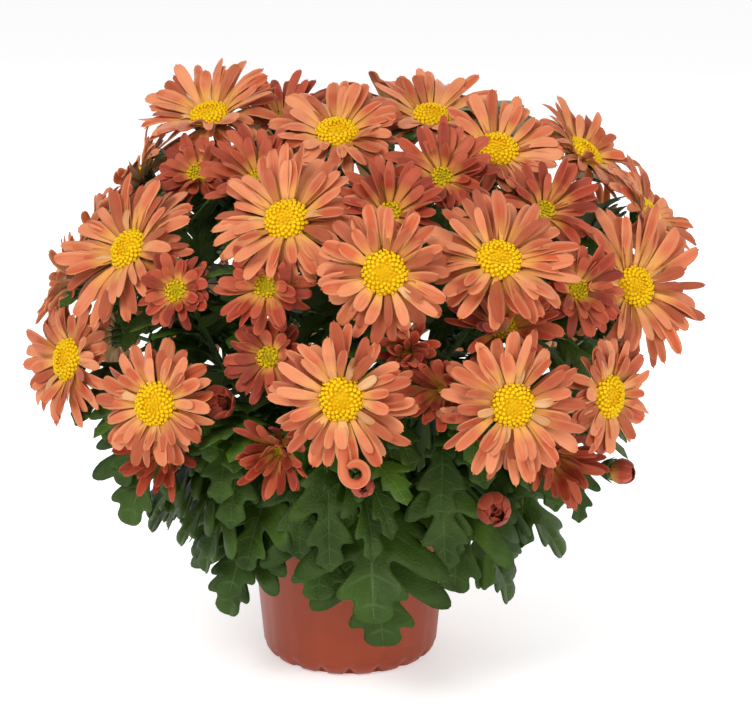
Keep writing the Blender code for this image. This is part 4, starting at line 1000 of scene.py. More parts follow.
def add_petals(bunch, head, settings):
    """The petals of an open or half-open head."""
    model = petal_model()
    draw = random.Random(head.name + " petals")
    stage = head.stage
    stray = settings.disorder
    for row, count in enumerate(stage["petals"]):
        for i in range(count):
            angle = head.spin + (i + 0.5 * row) * 2 * math.pi / count + draw.uniform(-stray, stray)
            length, slope = head.guide(min(row, 1), angle)
            lift = slope + UPPER_PETALS_LIFT * (row == 2)
            slopes = [math.radians(cup + lift + draw.uniform(-5, 5)) for cup in head.cup]
            slopes[0] -= math.radians(0.7 * UPPER_PETALS_LIFT) * (row == 2)
            slopes[1] += math.radians(draw.uniform(*PETAL_TIP_SLOPES))
            reach = draw.triangular(*PETAL_REACHES) * PETAL_SPREAD * (UPPER_PETALS_REACH if row == 2 else 1)
            points = petal_points(
                model, head, row, angle, (length + ROOT_DEPTH) * reach, slopes,
                stage["petal"] * PETAL_ROW_WIDTHS[row] * settings.width * draw.uniform(0.72, 1.14),
                settings.curl * draw.uniform(0.5, 2.0), math.radians(draw.gauss(0, 20)),
                draw.uniform(-0.17, 0.17), (math.radians(draw.uniform(*PETAL_WAVES)), draw.uniform(0, 6.28)))
            bunch.add(model, points, shade=draw.random())
    spoons = SPOONS.get(head.name, SPOONS_ELSEWHERE) if head.stage_name == "open" else 0
    for i in range(spoons):
        angle = head.spin + (i + draw.uniform(-0.3, 0.3)) * 2 * math.pi / max(spoons, 1)
        steep = math.radians(draw.uniform(*SPOON_SLOPES))
        points = petal_points(
            model, head, 2, angle, draw.uniform(*SPOON_LENGTHS) * MM,
            (steep, steep - math.radians(draw.uniform(*SPOON_BENDS))), draw.uniform(*SPOON_HALF_WIDTHS) * MM,
            settings.curl * 1.5, math.radians(draw.uniform(-30, 30)), 0.0)
        bunch.add(model, points, paint=2, shade=draw.random())
    for angle, length in QUILLS.get(head.name, ()):
        add_quill(bunch, head, math.radians(angle), length * MM)
    add_receptacle(bunch, head)


def add_quill(bunch, head, angle, length):
    """A long rolled petal that hangs out of the bloom and ends in a ring."""
    quill = rod_model(10, 36)
    out = head.out(angle)
    aside = head.face.cross(out)
    path = [head.at(head.stage["core"] - ROOT_DEPTH, angle, head.stage["band"])]
    for i in range(QUILL_STEPS):
        share = i / QUILL_STEPS
        turn = QUILL_TURN * (max(share - QUILL_STRAIGHT, 0) / (1 - QUILL_STRAIGHT)) ** 1.15 - math.radians(8)
        lean = math.radians(20 - 24 * share)
        way = math.cos(lean) * (math.cos(turn) * out + math.sin(turn) * aside) + math.sin(lean) * head.face
        path.append(path[-1] + way * length / QUILL_STEPS)
    bunch.add(quill, rod_points(quill, path, QUILL_RADII), paint=0, shade=0.62)


def add_receptacle(bunch, head):
    """The fleshy button that the petals stand on."""
    model = rod_model(12, 2)
    stage = head.stage
    profile = ((0, 0.55 * stage["core"]), (0.5, stage["core"] * 0.92), (1, stage["inner"] * 0.86))
    top = head.foot + head.face * (stage["band"] + 1 * MM)
    bunch.add(model, rod_points(model, [head.foot - head.face * 1.5 * MM, head.foot, top], profile), paint=1)


def add_bud_petals(bunch, head):
    """The furled petals of an opening bud, which lean in round a dark hollow."""
    model = petal_model()
    draw = random.Random(head.name + " petals")
    half = head.width / 2
    for row in (0, 1):
        count = head.stage["petals"][row]
        for i in range(count):
            angle = head.spin + (i + 0.5 * row) * 2 * math.pi / count + draw.uniform(-0.08, 0.08)
            length = half * BUD_LENGTHS[row] * draw.uniform(0.93, 1.05)
            slopes = (math.radians(BUD_SLOPES[row]), math.radians(BUD_TIP_SLOPE + draw.uniform(-12, 12)))
            points = bud_petal(model, head, angle, length, slopes, half * BUD_WIDTHS[row], half * BUD_HOLLOW)
            bunch.add(model, points, paint=0, shade=draw.uniform(0.5, 1))


def bud_petal(model, head, angle, length, slopes, width, radius):
    """The points of one furled petal."""
    across, along, relief = model.points.T
    leans = slopes[0] + (slopes[1] - slopes[0]) * np.minimum(PETAL_STEPS, 1)
    middle, normal, side = petal_line(head, angle, length, leans, leans[1:], radius, 0, along)
    raised = across * across * width * BUD_FOLD + relief
    return middle + (across * width)[:, None] * side + raised[:, None] * normal


def rod_points(model, path, profile):
    """The rod's points along a path, its radius read from (share, radius) pairs."""
    across, along, other = model.points.T
    lengths = [0.0]
    for a, b in zip(path, path[1:]):
        lengths.append(lengths[-1] + (b - a).length)
    shares = np.array(lengths) / lengths[-1]
    frames = path_frames(path, (path[1] - path[0]).orthogonal())
    points = np.array([list(p) for p in path])
    first = np.array([list(f[0]) for f in frames])
    second = np.array([list(f[1]) for f in frames])

    def at(values):
        return np.stack([np.interp(along, shares, values[:, i]) for i in range(3)], axis=1)

    radius = np.interp(along, *zip(*profile))
    return at(points) + (across * radius)[:, None] * at(first) + (other * radius)[:, None] * at(second)


def add_twig(bunch, steer, thick, thin, shade=0.5, paint=0):
    """A round stalk along its curve."""
    model = rod_model(TWIG_SIDES, TWIG_STEPS)
    path = bezier(*steer, TWIG_STEPS + 1)
    bunch.add(model, rod_points(model, path, ((0, thick), (1, thin))), paint=paint, shade=shade)


def add_calyx(bunch, head, cup_paint=0, bract_paint=1):
    """The green cup under a head, with two rows of bracts."""
    core = head.stage["core"]
    low = head.foot - head.face * (CALYX_HEIGHT + GAP)
    path = [low.lerp(head.foot, i / 8) for i in range(9)]
    profile = [(0, STALK_RADIUS)] + [(share, wide * core) for share, wide in CALYX_RADII]
    cup = rod_model(12, 8)
    bunch.add(cup, rod_points(cup, path, profile), paint=cup_paint, shade=0.4)
    model = bract_model()
    across, along, relief = model.points.T
    for row, (count, foot, top) in enumerate(BRACT_ROWS):
        for i in range(count):
            angle = head.spin + (i + 0.5 * row) * 2 * math.pi / count
            out, face, side = head.axes(angle)
            share = foot + (top - foot) * along
            radius = np.interp(share, *zip(*profile))
            radius = radius + (0.45 + 0.5 * along) * MM + np.maximum(share - 0.9, 0) * 4 * MM
            width = math.pi * core * 0.9 / count
            points = (
                np.array(low)
                + (share * (CALYX_HEIGHT + GAP))[:, None] * face
                + (radius + relief)[:, None] * out
                + (across * width)[:, None] * side
            )
            bunch.add(model, points, paint=bract_paint, shade=0.3 + 0.5 * (i % 3) / 2)


def add_disc(bunch, head):
    """The dome of the disc and its florets, the outer ones open and the middle ones still closed."""
    stage = head.stage
    radius = stage["inner"] * DISC_SPREAD
    height = stage["dome"] * DISC_DOME
    foot = stage["band"] + DISC_RISE
    dome = rod_model(16, 6)

    def rise(share):
        sunk = 0.5 if head.stage_name in ("open", "full") else 0.15
        return height * (1 - share ** 2.4) - sunk * height * math.exp(-((share / DISC_DIMPLE) ** 2))

    shares = [1 - i / 6 for i in range(7)]
    path = [head.foot + head.face * (foot - 1 * MM), head.foot + head.face * (foot + height * 0.55)]
    profile = [(1 - s, radius * math.sqrt(max(1 - (1 - s) ** 2, 0)) * 0.94) for s in shares]
    bunch.add(dome, rod_points(dome, path, profile), paint=0, shade=0.15)
    model = floret_model()
    across, other, up = model.points.T
    draw = random.Random(head.name + " florets")
    count = stage["florets"]
    for k in range(count):
        share = math.sqrt((k + 0.5) / count)
        angle = head.spin + math.radians(GOLDEN_ANGLE * k)
        size = radius / math.sqrt(count) * (0.78 + 0.22 * share) * draw.uniform(0.9, 1.1)
        tilt = 1.0 * share ** 1.5 + draw.uniform(-0.1, 0.1)
        out, face, side = head.axes(angle)
        axis = math.cos(tilt) * face + math.sin(tilt) * out
        level = math.cos(tilt) * out - math.sin(tilt) * face
        place = np.array(head.at(radius * share, angle, foot + rise(share)))
        closed = share < CLOSED_FLORETS
        mouth = np.where(up > 0.3, 0.45, 1.0) if closed else 1.0
        tall = size * (0.75 if closed else 1.05)
        points = (
            place
            + (across * size * mouth)[:, None] * level
            + (other * size * mouth)[:, None] * side
            + (up * tall)[:, None] * axis
        )
        bunch.add(model, points, paint=0, shade=min(max(share * 0.9 + draw.uniform(-0.1, 0.1), 0), 1))


def leaf_place(leaf, along):
    """Point, normal and sideways vectors at each share of the leaf's length."""
    samples = np.linspace(0, 1, 33)
    rows = [leaf_curve(leaf.foot, leaf.tip, s) for s in samples]
    made = []
    for part in range(3):
        values = np.array([list(row[part]) for row in rows])
        made.append(np.stack([np.interp(along, samples, values[:, i]) for i in range(3)], axis=1))
    return made


def add_leaf(bunch, leaf, draw, kind=None):
    """A leaf with its petiole, which runs on as the midrib under the blade."""
    model = leaf_model(kind or ("large" if leaf.large else "small"))
    across, along, relief = model.points.T
    share = PETIOLE_SHARE + along * (1 - PETIOLE_SHARE)
    point, normal, sideways = leaf_place(leaf, share)
    size = leaf.blade
    wave = draw.uniform(0.6, 1.3)
    phase = draw.uniform(0, 6.28)
    lift = (
        np.abs(across) * math.sin(LEAF_FOLD) * size
        - LEAF_CUP * across * across * size
        + LEAF_WAVE * size * wave * np.sin(9 * along + phase) * (np.abs(across) / 0.4)
        + relief * size / (60 * MM)
    )
    lean = draw.uniform(-0.03, 0.03) * size * np.sin(math.pi * along)
    points = point + (across * size + lean)[:, None] * sideways + lift[:, None] * normal
    shade = draw.random()
    bunch.add(model, points, shade=shade)
    rod = rod_model(4, 3) if kind == "plain" else rod_model(6, 8)
    run = np.linspace(0, PETIOLE_SHARE + (0.3 if kind == "plain" else 0.7) * (1 - PETIOLE_SHARE), 12)
    place, up, _ = leaf_place(leaf, run)
    path = [Vector(p - n * 0.5 * MM) for p, n in zip(place, up)]
    bunch.add(rod, rod_points(rod, path, ((0, PETIOLE_RADIUS), (0.35, PETIOLE_RADIUS * 0.85), (1, 0.3 * MM))),
              paint=2, shade=shade)


# Finishes


class Finish:
    """A material being made: its Principled shader and the nodes that feed it."""

    def __init__(self, name, roughness, **constants):
        self.material = bpy.data.materials.new(name)
        self.material.use_nodes = True
        self.nodes = self.material.node_tree.nodes
        self.links = self.material.node_tree.links
        self.shader = self.nodes["Principled BSDF"]
        self.shader.inputs["Roughness"].default_value = roughness
        for key, value in constants.items():
            self.shader.inputs[key.replace("_", " ")].default_value = value

    def node(self, kind, inputs=None, **settings):
        made = self.nodes.new("ShaderNode" + kind)
        for key, value in settings.items():
            setattr(made, key, value)
        for key, value in (inputs or {}).items():
            self.feed(made.inputs[key], value)
        return made

    def feed(self, socket, value):
        if isinstance(value, bpy.types.NodeSocket):
            self.links.new(value, socket)
        elif hasattr(value, "__len__") and len(value) == 3 and socket.type == "RGBA":
            socket.default_value = (*value, 1)
        else:
            socket.default_value = value

    def surface(self):
        """Across and along the piece's own pattern."""
        split = self.node("SeparateXYZ", {0: self.node("UVMap", uv_map="Surface").outputs[0]})
        return split.outputs[0], split.outputs[1]

    def math(self, operation, *values):
        return self.node("Math", dict(enumerate(values)), operation=operation).outputs[0]

    def place(self, *scale):
        """Object coordinates, stretched if a scale is given."""
        where = self.node("TexCoord").outputs["Object"]
        return self.node("Mapping", {"Vector": where, "Scale": scale or (1, 1, 1)}).outputs[0]

    def aside(self, across):
        """How far from the midrib, 0 to 1."""
        return self.math("ABSOLUTE", self.math("SUBTRACT", self.math("MULTIPLY", across, 2.0), 1.0))

    def streaks(self, across, along, fine, long):
        """Streaks that run along a petal, other ones on each petal."""
        where = self.vector(
            self.math("MULTIPLY", across, fine), self.math("MULTIPLY", along, long),
            self.math("MULTIPLY", self.shade(), 40.0))
        return self.noise(where, 1.0, 3.0)

    def vector(self, x, y, z=0.0):
        return self.node("CombineXYZ", {0: x, 1: y, 2: z}).outputs[0]

    def noise(self, where, scale, detail=2.0, rough=0.5):
        return self.node(
            "TexNoise", {"Vector": where, "Scale": scale, "Detail": detail, "Roughness": rough}).outputs[0]

    def between(self, value, low, high, to_low=0.0, to_high=1.0):
        """The value's way from low to high, eased, as a number from to_low to to_high."""
        return self.node(
            "MapRange", {0: value, 1: low, 2: high, 3: to_low, 4: to_high}, interpolation_type="SMOOTHSTEP",
        ).outputs[0]

    def mix(self, share, first, second, blend="MIX"):
        return self.node(
            "Mix", {0: share, 6: first, 7: second}, data_type="RGBA", blend_type=blend).outputs[2]

    def shade(self):
        return self.node("Attribute", attribute_name="shade").outputs["Fac"]

    def bump(self, height, distance, strength=1.0):
        made = self.node("Bump", {"Height": height, "Distance": distance, "Strength": strength})
        self.feed(self.shader.inputs["Normal"], made.outputs[0])

    def finished(self, colour, roughness=None):
        self.feed(self.shader.inputs["Base Color"], colour)
        if roughness is not None:
            self.feed(self.shader.inputs["Roughness"], roughness)
        return self.material


def petal_finish(name, coral, pale, deep, settings):
    """Coral with fine streaks along the petal and golden at its foot; its paler edges are a painted highlight.
    """
    finish = Finish(name, 0.62, Sheen_Weight=0.08, Sheen_Roughness=0.4, Specular_IOR_Level=0.35)
    across, along = finish.surface()
    aside = finish.aside(across)
    shade = finish.shade()
    streaks = finish.streaks(across, along, 16.0, 1.4)
    clouds = finish.noise(finish.place(), 55.0, 2.0)
    dark = tuple(c * deep for c in coral)
    colour = finish.mix(finish.between(streaks, 0.36, 0.64, 0, 0.6), coral, dark)
    colour = finish.mix(finish.between(clouds, 0.4, 0.68, 0, 0.35), colour, pale)
    # Painted highlight: the petals' edges turn paler, as if they caught the light.
    edge = finish.math(
        "MULTIPLY", finish.between(aside, 0.35, 1.0), finish.between(shade, 0.1, 0.9, 0.35, 0.9))
    colour = finish.mix(edge, colour, pale)
    colour = finish.mix(finish.between(along, 0.44, 0.16, 0, 0.9), colour, settings.foot)
    colour = finish.mix(finish.between(shade, 0.45, 1, 0.0, 0.85), colour, dark)
    colour = finish.mix(finish.between(shade, 0.45, 0, 0.0, 0.55), colour, pale)
    finish.bump(streaks, 0.25 * MM, 0.8)
    return finish.finished(colour, finish.between(streaks, 0.3, 0.7, 0.5, 0.7))


def reverse_finish(name, back, coral):
    """The paler backs of the petals, cream at the foot."""
    finish = Finish(name, 0.65, Sheen_Weight=0.06, Specular_IOR_Level=0.35)
    across, along = finish.surface()
    streaks = finish.streaks(across, along, 14.0, 1.2)
    colour = finish.mix(finish.between(streaks, 0.35, 0.65, 0, 0.5), back, coral)
    colour = finish.mix(finish.between(along, 0.6, 0.15, 0, 0.7), colour, (0.90, 0.66, 0.34))
    finish.bump(streaks, 0.2 * MM, 0.8)
    return finish.finished(colour)


def disc_finish(name, ripe, unripe):
    """Golden florets, greener towards the middle of the disc."""
    finish = Finish(name, 0.75, Specular_IOR_Level=0.15)
    grain = finish.noise(finish.place(), 900.0, 2.0)
    colour = finish.mix(finish.between(finish.shade(), 0.25, 0.75), unripe, ripe)
    colour = finish.mix(finish.between(grain, 0.45, 0.75, 0, 0.25), colour, (0.90, 0.34, 0.01))
    finish.bump(grain, 0.12 * MM)
    return finish.finished(colour)


def leaf_finish(name, settings, young=1.0):
    """Dark green, clouded, with paler veins along the midrib and across the blade, and a fine net between.
    Young makes every colour this many times lighter: painted light for the leaves that stand in the crown's
    shade."""
    finish = Finish(name, 0.52, Specular_IOR_Level=0.22)
    paints = settings.blade, settings.shade, settings.vein
    # Painted light: a young value over 1 lightens every colour, to lift leaves out of the crown's shade.
    blade, shaded, vein = (tuple(young * c for c in paint) for paint in paints)
    across, along = finish.surface()
    aside = finish.aside(across)
    clouds = finish.noise(finish.place(), 38.0, 3.0)
    net = finish.node("TexVoronoi", {"Vector": finish.place(), "Scale": 420.0},
                      feature="DISTANCE_TO_EDGE").outputs["Distance"]
    shade = finish.shade()
    colour = finish.mix(finish.between(clouds, 0.35, 0.65), blade, shaded)
    colour = finish.mix(finish.between(shade, 0, 1, 0.0, 0.45), colour, shaded)
    rib = finish.between(aside, 0.07, 0.0)
    ripple = finish.math("SINE", finish.math("MULTIPLY", along, 62.0))
    side_veins = finish.math(
        "MULTIPLY", finish.between(ripple, 0.90, 1.0), finish.between(aside, 0.95, 0.2, 0, 0.6))
    veins = finish.math("MAXIMUM", rib, side_veins)
    colour = finish.mix(finish.math("MULTIPLY", veins, 0.65), colour, vein)
    height = finish.math("ADD", finish.math("MULTIPLY", finish.between(net, 0.0, 0.25), 0.35),
                         finish.math("MULTIPLY", veins, -0.6))
    finish.bump(height, 0.3 * MM)
    return finish.finished(colour, finish.between(clouds, 0.3, 0.7, 0.40, 0.56))


def underside_finish(settings):
    """The pale, downy undersides of the leaves."""
    finish = Finish("leaf_under", 0.75, Sheen_Weight=0.08, Specular_IOR_Level=0.25)
    clouds = finish.noise(finish.place(), 60.0, 3.0)
    colour = finish.mix(finish.between(clouds, 0.35, 0.65), settings.back, settings.blade)
    finish.bump(clouds, 0.3 * MM)
    return finish.finished(colour)


def stalk_finish(settings):
    """Ribbed green stalks, with a brownish flush."""
    finish = Finish("stalk_green", 0.55)
    across, _ = finish.surface()
    ribs = finish.math("SINE", finish.math("MULTIPLY", across, 2 * math.pi * 7))
    blotch = finish.noise(finish.place(1, 1, 0.3), 120.0, 3.0)
    flush = (0.10, 0.085, 0.025)
    colour = finish.mix(finish.between(blotch, 0.45, 0.75, 0, 0.5), settings.stalk, flush)
    colour = finish.mix(finish.between(ribs, 0.2, 1.0, 0, 0.35), colour, settings.vein)
    finish.bump(ribs, 0.2 * MM)
    return finish.finished(colour)


def pot_finish(settings):
    """Moulded plastic with a fine grain, faint scuffs and a little dried peat near its foot."""
    finish = Finish("terracotta_plastic", 0.42, Specular_IOR_Level=0.35)
    grain = finish.noise(finish.place(), 1500.0, 2.0)
    flow = finish.noise(finish.place(1, 1, 0.25), 30.0, 4.0, 0.6)
    scuffs = finish.noise(finish.place(1, 1, 6), 90.0, 5.0, 0.7)
    body = settings.terracotta
    colour = finish.mix(finish.between(flow, 0.35, 0.7, 0, 0.5), body, tuple(c * 0.78 for c in body))
    colour = finish.mix(finish.between(scuffs, 0.60, 0.78, 0, 0.35), colour, (0.52, 0.20, 0.12))
    height = finish.node("SeparateXYZ", {0: finish.node("TexCoord").outputs["Object"]}).outputs[2]
    dust = finish.math("MULTIPLY", finish.between(height, 0.020, 0.0), finish.between(scuffs, 0.45, 0.7))
    colour = finish.mix(finish.math("MULTIPLY", dust, 0.6), colour, settings.peat)
    finish.bump(grain, 0.05 * MM, 0.5)
    return finish.finished(colour, finish.between(flow, 0.3, 0.7, 0.34, 0.5))


def soil_finish(settings):
    """Moist peat with pale fibres."""
    finish = Finish("potting_soil", 0.92)
    crumbs = finish.noise(finish.place(), 500.0, 4.0, 0.7)
    fibres = finish.noise(finish.place(1, 4, 1), 260.0, 3.0)
    colour = finish.mix(finish.between(crumbs, 0.4, 0.65), settings.peat, (0.075, 0.045, 0.026))
    colour = finish.mix(finish.between(fibres, 0.66, 0.72, 0, 0.6), colour, (0.22, 0.15, 0.085))
    finish.bump(crumbs, 0.8 * MM)
    return finish.finished(colour)


@functools.lru_cache(maxsize=1)
def green_finishes():
    settings = bpy.context.scene.chrysanthemum_leaves
    return leaf_finish("leaf_upper", settings), underside_finish(settings), stalk_finish(settings)


@functools.lru_cache(maxsize=1)
def bloom_finishes():
    settings = bpy.context.scene.chrysanthemum_petals
    # The young petals' painted edge highlight: a deeper mix of the edge colour.
    young_edge_highlight = [0.7 * c + 0.3 * e for c, e in zip(settings.young_coral, settings.edge)]
    return {
        "coral": petal_finish("petal_coral", settings.coral, settings.edge, 0.56, settings),
        "young": petal_finish("petal_young", settings.young_coral, young_edge_highlight, 0.5, settings),
        "coral_back": reverse_finish("petal_back", settings.reverse, settings.coral),
        "young_back": reverse_finish("petal_young_back", settings.coral, settings.young_coral),
        "disc": disc_finish("disc_gold", settings.floret, settings.unripe),
        "spoon": petal_finish("petal_spoon", (0.66, 0.30, 0.115), (0.76, 0.46, 0.22), 0.8, settings),
        "young_disc": disc_finish("disc_olive", (0.74, 0.53, 0.006), (0.55, 0.44, 0.008)),
    }


# Operators


class CHRYSANTHEMUM_OT_pot(bpy.types.Operator):
    """Add the moulded pot: rolled rim, tapered wall, notched foot and drained floor"""

    bl_idname = "chrysanthemum.pot"
    bl_label = "Pot"

    SIDES = 144

    def execute(self, context):
        outline = self.profile()
        nothing_selected()
        bpy.ops.mesh.primitive_cylinder_add(
            vertices=self.SIDES, radius=outline[0][0], depth=0.01, end_fill_type="NGON", calc_uvs=True)
        pot = context.object
        mesh = bpy.data.meshes.new("pot_shell")
        points, faces = [], []
        for radius, height in outline:
            for i in range(self.SIDES):
                angle = 2 * math.pi * i / self.SIDES
                x, z = self.notched(radius, height, angle)
                points.append((x * math.sin(angle), -x * math.cos(angle), z))
        for ring in range(len(outline) - 1):
            for i in range(self.SIDES):
                j = (i + 1) % self.SIDES
                a, b = ring * self.SIDES, (ring + 1) * self.SIDES
                faces.append((a + i, a + j, b + j, b + i))
        last = (len(outline) - 1) * self.SIDES
        faces.append(tuple(reversed(range(self.SIDES))))
        faces.append(tuple(range(last, last + self.SIDES)))
        mesh.from_pydata(points, [], faces)
        pot.data = mesh
        pot.name = "pot_shell"
        selected_only(pot)
        bpy.ops.object.mode_set(mode="EDIT")
        bpy.ops.mesh.select_all(action="SELECT")
        bpy.ops.mesh.normals_make_consistent(inside=False)
        bpy.ops.object.mode_set(mode="OBJECT")
        self.drill(pot)
        bpy.ops.object.shade_smooth_by_angle(angle=math.radians(35))
        pot.data.materials.append(pot_finish(context.scene.chrysanthemum_pot))
        dressed(pot, ("pot",))
        return {"FINISHED"}

    @staticmethod
    def profile():
        """The turned section from the middle of the underside, up the outside and down the inside."""
        wall = POT_HEIGHT - POT_RIM_DEPTH - POT_CORNER_HEIGHT
        corner = [
            (POT_BASE_RADIUS + (POT_FOOT_RADIUS - POT_BASE_RADIUS) * math.sin(a),
             POT_CORNER_HEIGHT * (1 - math.cos(a)))
            for a in (math.pi / 2 * i / 6 for i in range(7))
        ]
        under_rim = POT_CORNER_HEIGHT + wall
        roll = 1.2 * MM
        rim = [
            (POT_SHOULDER_RADIUS, under_rim - 1.5 * MM),
            (POT_SHOULDER_RADIUS + 0.6 * MM, under_rim - 0.3 * MM),
            (POT_RIM_RADIUS - roll, under_rim),
            (POT_RIM_RADIUS - 0.35 * roll, under_rim + 0.35 * roll),
            (POT_RIM_RADIUS, under_rim + roll),
            (POT_RIM_RADIUS, POT_HEIGHT - roll),
            (POT_RIM_RADIUS - 0.35 * roll, POT_HEIGHT - 0.35 * roll),
            (POT_RIM_RADIUS - roll, POT_HEIGHT),
            (POT_RIM_RADIUS - 2.6 * MM, POT_HEIGHT),
            (POT_RIM_RADIUS - 3.4 * MM, POT_HEIGHT - 0.8 * MM),
            (POT_SHOULDER_RADIUS - POT_WALL, POT_HEIGHT - 3 * MM),
        ]
        inside = [
            (POT_FOOT_RADIUS - POT_WALL, POT_CORNER_HEIGHT),
            (POT_FOOT_RADIUS - POT_WALL - 2 * MM, POT_FLOOR + 3 * MM),
            (POT_BASE_RADIUS - POT_WALL, POT_FLOOR),
        ]
        return [(POT_BASE_RADIUS - 6 * MM, 0)] + corner + rim + inside

    @staticmethod
    def notched(radius, height, angle):
        """The foot's rounded corner is pressed in at even steps round the pot."""
        wave = max(math.cos(FOOT_NOTCHES * angle), 0.0) ** 2
        in_foot = POT_BASE_RADIUS + 0.5 * MM < radius and 0 < height < POT_CORNER_HEIGHT
        if not in_foot:
            return radius, height
        fade = 1 - height / POT_CORNER_HEIGHT
        return radius - FOOT_NOTCH_DEPTH * wave * fade, height + FOOT_NOTCH_RISE * wave * fade

    @staticmethod
    def drill(pot):
        """Cuts the drainage holes."""
        for i in range(DRAIN_HOLES):
            angle = 2 * math.pi * (i + 0.5) / DRAIN_HOLES
            place = DRAIN_CIRCLE_RADIUS * Vector((math.sin(angle), -math.cos(angle), 0))
            nothing_selected()
            bpy.ops.mesh.primitive_cylinder_add(
                vertices=24, radius=DRAIN_RADIUS, depth=20 * MM, location=place)
            cutter = bpy.context.object
            selected_only(pot)
            cut = pot.modifiers.new("cut", "BOOLEAN")
            cut.operation = "DIFFERENCE"
            cut.object = cutter
            bpy.ops.object.modifier_apply(modifier="cut")
            bpy.data.objects.remove(cutter, do_unlink=True)


class CHRYSANTHEMUM_OT_soil(bpy.types.Operator):
    """Add the peat: a crumbly surface with loose lumps, over a plain body"""

    bl_idname = "chrysanthemum.soil"
    bl_label = "Soil"

    def execute(self, context):
        settings = context.scene.chrysanthemum_pot
        draw = random.Random("soil")
        bunch = Bunch()
        body = rod_model(48, 24)
        low, high = Vector((0, 0, POT_FLOOR + 0.4 * MM)), Vector((0, 0, SOIL_HEIGHT))
        inner = POT_SHOULDER_RADIUS - POT_WALL - 1.2 * MM
        profile = ((0, POT_BASE_RADIUS - POT_WALL - 0.8 * MM), (0.08, POT_FOOT_RADIUS - POT_WALL - 1.4 * MM),
                   (1, inner))
        points = rod_points(body, [low, high], profile)
        level = np.hypot(points[:, 0], points[:, 1])
        points[:, 2] += np.where(points[:, 2] > SOIL_HEIGHT - 4 * MM, (1 - level / inner) * 2 * MM, 0)
        bunch.add(body, points)
        lump = self.lump()
        for _ in range(settings.lumps):
            radius = inner * math.sqrt(draw.random()) * 0.96
            angle = draw.uniform(0, 2 * math.pi)
            size = draw.uniform(0.8, 2.6) * MM
            place = np.array((radius * math.cos(angle), radius * math.sin(angle),
                              SOIL_HEIGHT + (1 - radius / inner) * 2 * MM - 0.2 * size))
            stretch = np.array([draw.uniform(0.7, 1.3) for _ in range(3)])
            bunch.add(lump, place + lump.points * stretch * size, shade=draw.random())
        bunch.piece("soil_peat", "soil", ("soil",), soil_finish(settings))
        return {"FINISHED"}

    @staticmethod
    def lump():
        nothing_selected()
        bpy.ops.mesh.primitive_ico_sphere_add(subdivisions=2, radius=1, calc_uvs=True)
        draw = random.Random("lump")
        for vertex in bpy.context.object.data.vertices:
            vertex.co *= draw.uniform(0.72, 1.12)
        return Model(bpy.context.object)


class CHRYSANTHEMUM_OT_stems(bpy.types.Operator):
    """Add each cutting's round stems and branches, with the calyx of every large bloom"""

    bl_idname = "chrysanthemum.stems"
    bl_label = "Stems"

    def execute(self, context):
        heads, branches, _, _ = plant()
        upper, _, stalk = green_finishes()
        for number, turn in enumerate(CUTTING_TURNS):
            bunch = Bunch()
            rises = [-20 * MM + (STEM_RISE + 22 * MM) * i / 12 for i in range(13)]
            path = [stem_point(turn, rise) for rise in rises]
            model = rod_model(12, 16)
            bunch.add(model, rod_points(model, path, ((0, STEM_RADIUS), (1, STEM_TOP_RADIUS))), paint=0)
            for name, (owner, steer) in branches.items():
                if owner == number:
                    add_twig(bunch, steer, BRANCH_RADIUS, STALK_RADIUS, 0.4)
                    add_calyx(bunch, heads[name])
            node = f"cutting_{number + 1}"
            bunch.piece(node + "_stems", "leaves", (node,), stalk, upper)
        return {"FINISHED"}


class CHRYSANTHEMUM_OT_leaves(bpy.types.Operator):
    """Add the lobed leaves of each cutting"""

    bl_idname = "chrysanthemum.leaves"
    bl_label = "Leaves"

    def execute(self, context):
        _, _, _, leaves = plant()
        for number, grown in leaves.items():
            draw = random.Random(f"leaves {number}")
            bunch = Bunch()
            for leaf in grown:
                add_leaf(bunch, leaf, draw)
            node = f"cutting_{number + 1}"
            bunch.piece(node + "_leaves", "leaves", (node,), *green_finishes())
        return {"FINISHED"}


class CHRYSANTHEMUM_OT_large_blooms(bpy.types.Operator):
    """Add the petals and the disc of each large bloom"""

    bl_idname = "chrysanthemum.large_blooms"
    bl_label = "Large blooms"

    def execute(self, context):
        settings = context.scene.chrysanthemum_petals
        finishes = bloom_finishes()
        for name, head in plant()[0].items():
            age = "coral" if head.stage_name == "open" else "young"
            petals = Bunch()
            add_petals(petals, head, settings)
            petals.piece(
                name + "_petals", "petals", (name + "_rays",),
                finishes[age], finishes[age + "_back"], finishes["spoon"])
            disc = Bunch()
            add_disc(disc, head)
            gold = finishes["disc" if head.stage_name == "open" else "young_disc"]
            disc.piece(name + "_florets", "discs", (name + "_disc",), gold)
        return {"FINISHED"}


class CHRYSANTHEMUM_OT_side_sprays(bpy.types.Operator):
    """Add each side spray: its stalks and leaves, its petals and its discs"""

    bl_idname = "chrysanthemum.side_sprays"
    bl_label = "Side sprays"

    def execute(self, context):
        settings = context.scene.chrysanthemum_petals
        finishes = bloom_finishes()
        for name, spray in plant()[2].items():
            draw = random.Random(name + " leaves")
            stalks = Bunch()
            add_twig(stalks, spray.trunk, BRANCH_RADIUS, BRANCH_RADIUS * 0.85)
            for leaf in spray.leaves:
                add_leaf(stalks, leaf, draw)
            upper, under, stalk = green_finishes()
            ripe = [head for head in spray.heads if head.stage_name == "full"]
            petals, discs = Bunch(), Bunch()
            for head, steer in zip(spray.heads, spray.stalks):
                add_twig(stalks, steer, STALK_RADIUS * 1.15, STALK_RADIUS, paint=2)
                add_calyx(stalks, head, cup_paint=2, bract_paint=0)
                if head.is_bud:
                    add_bud_petals(petals, head)
                    continue
                add_petals(petals, head, settings)
                add_disc(discs, head)
            age = "coral" if ripe else "young"
            stalks.piece(name + "_stalks", "side_blooms", (name,), upper, under, stalk)
            petals.piece(name + "_petals", "side_blooms", (name,), finishes[age], finishes[age + "_back"])
            if discs.count:
                gold = finishes["disc" if ripe else "young_disc"]
                discs.piece(name + "_florets", "side_blooms", (name,), gold)
        return {"FINISHED"}


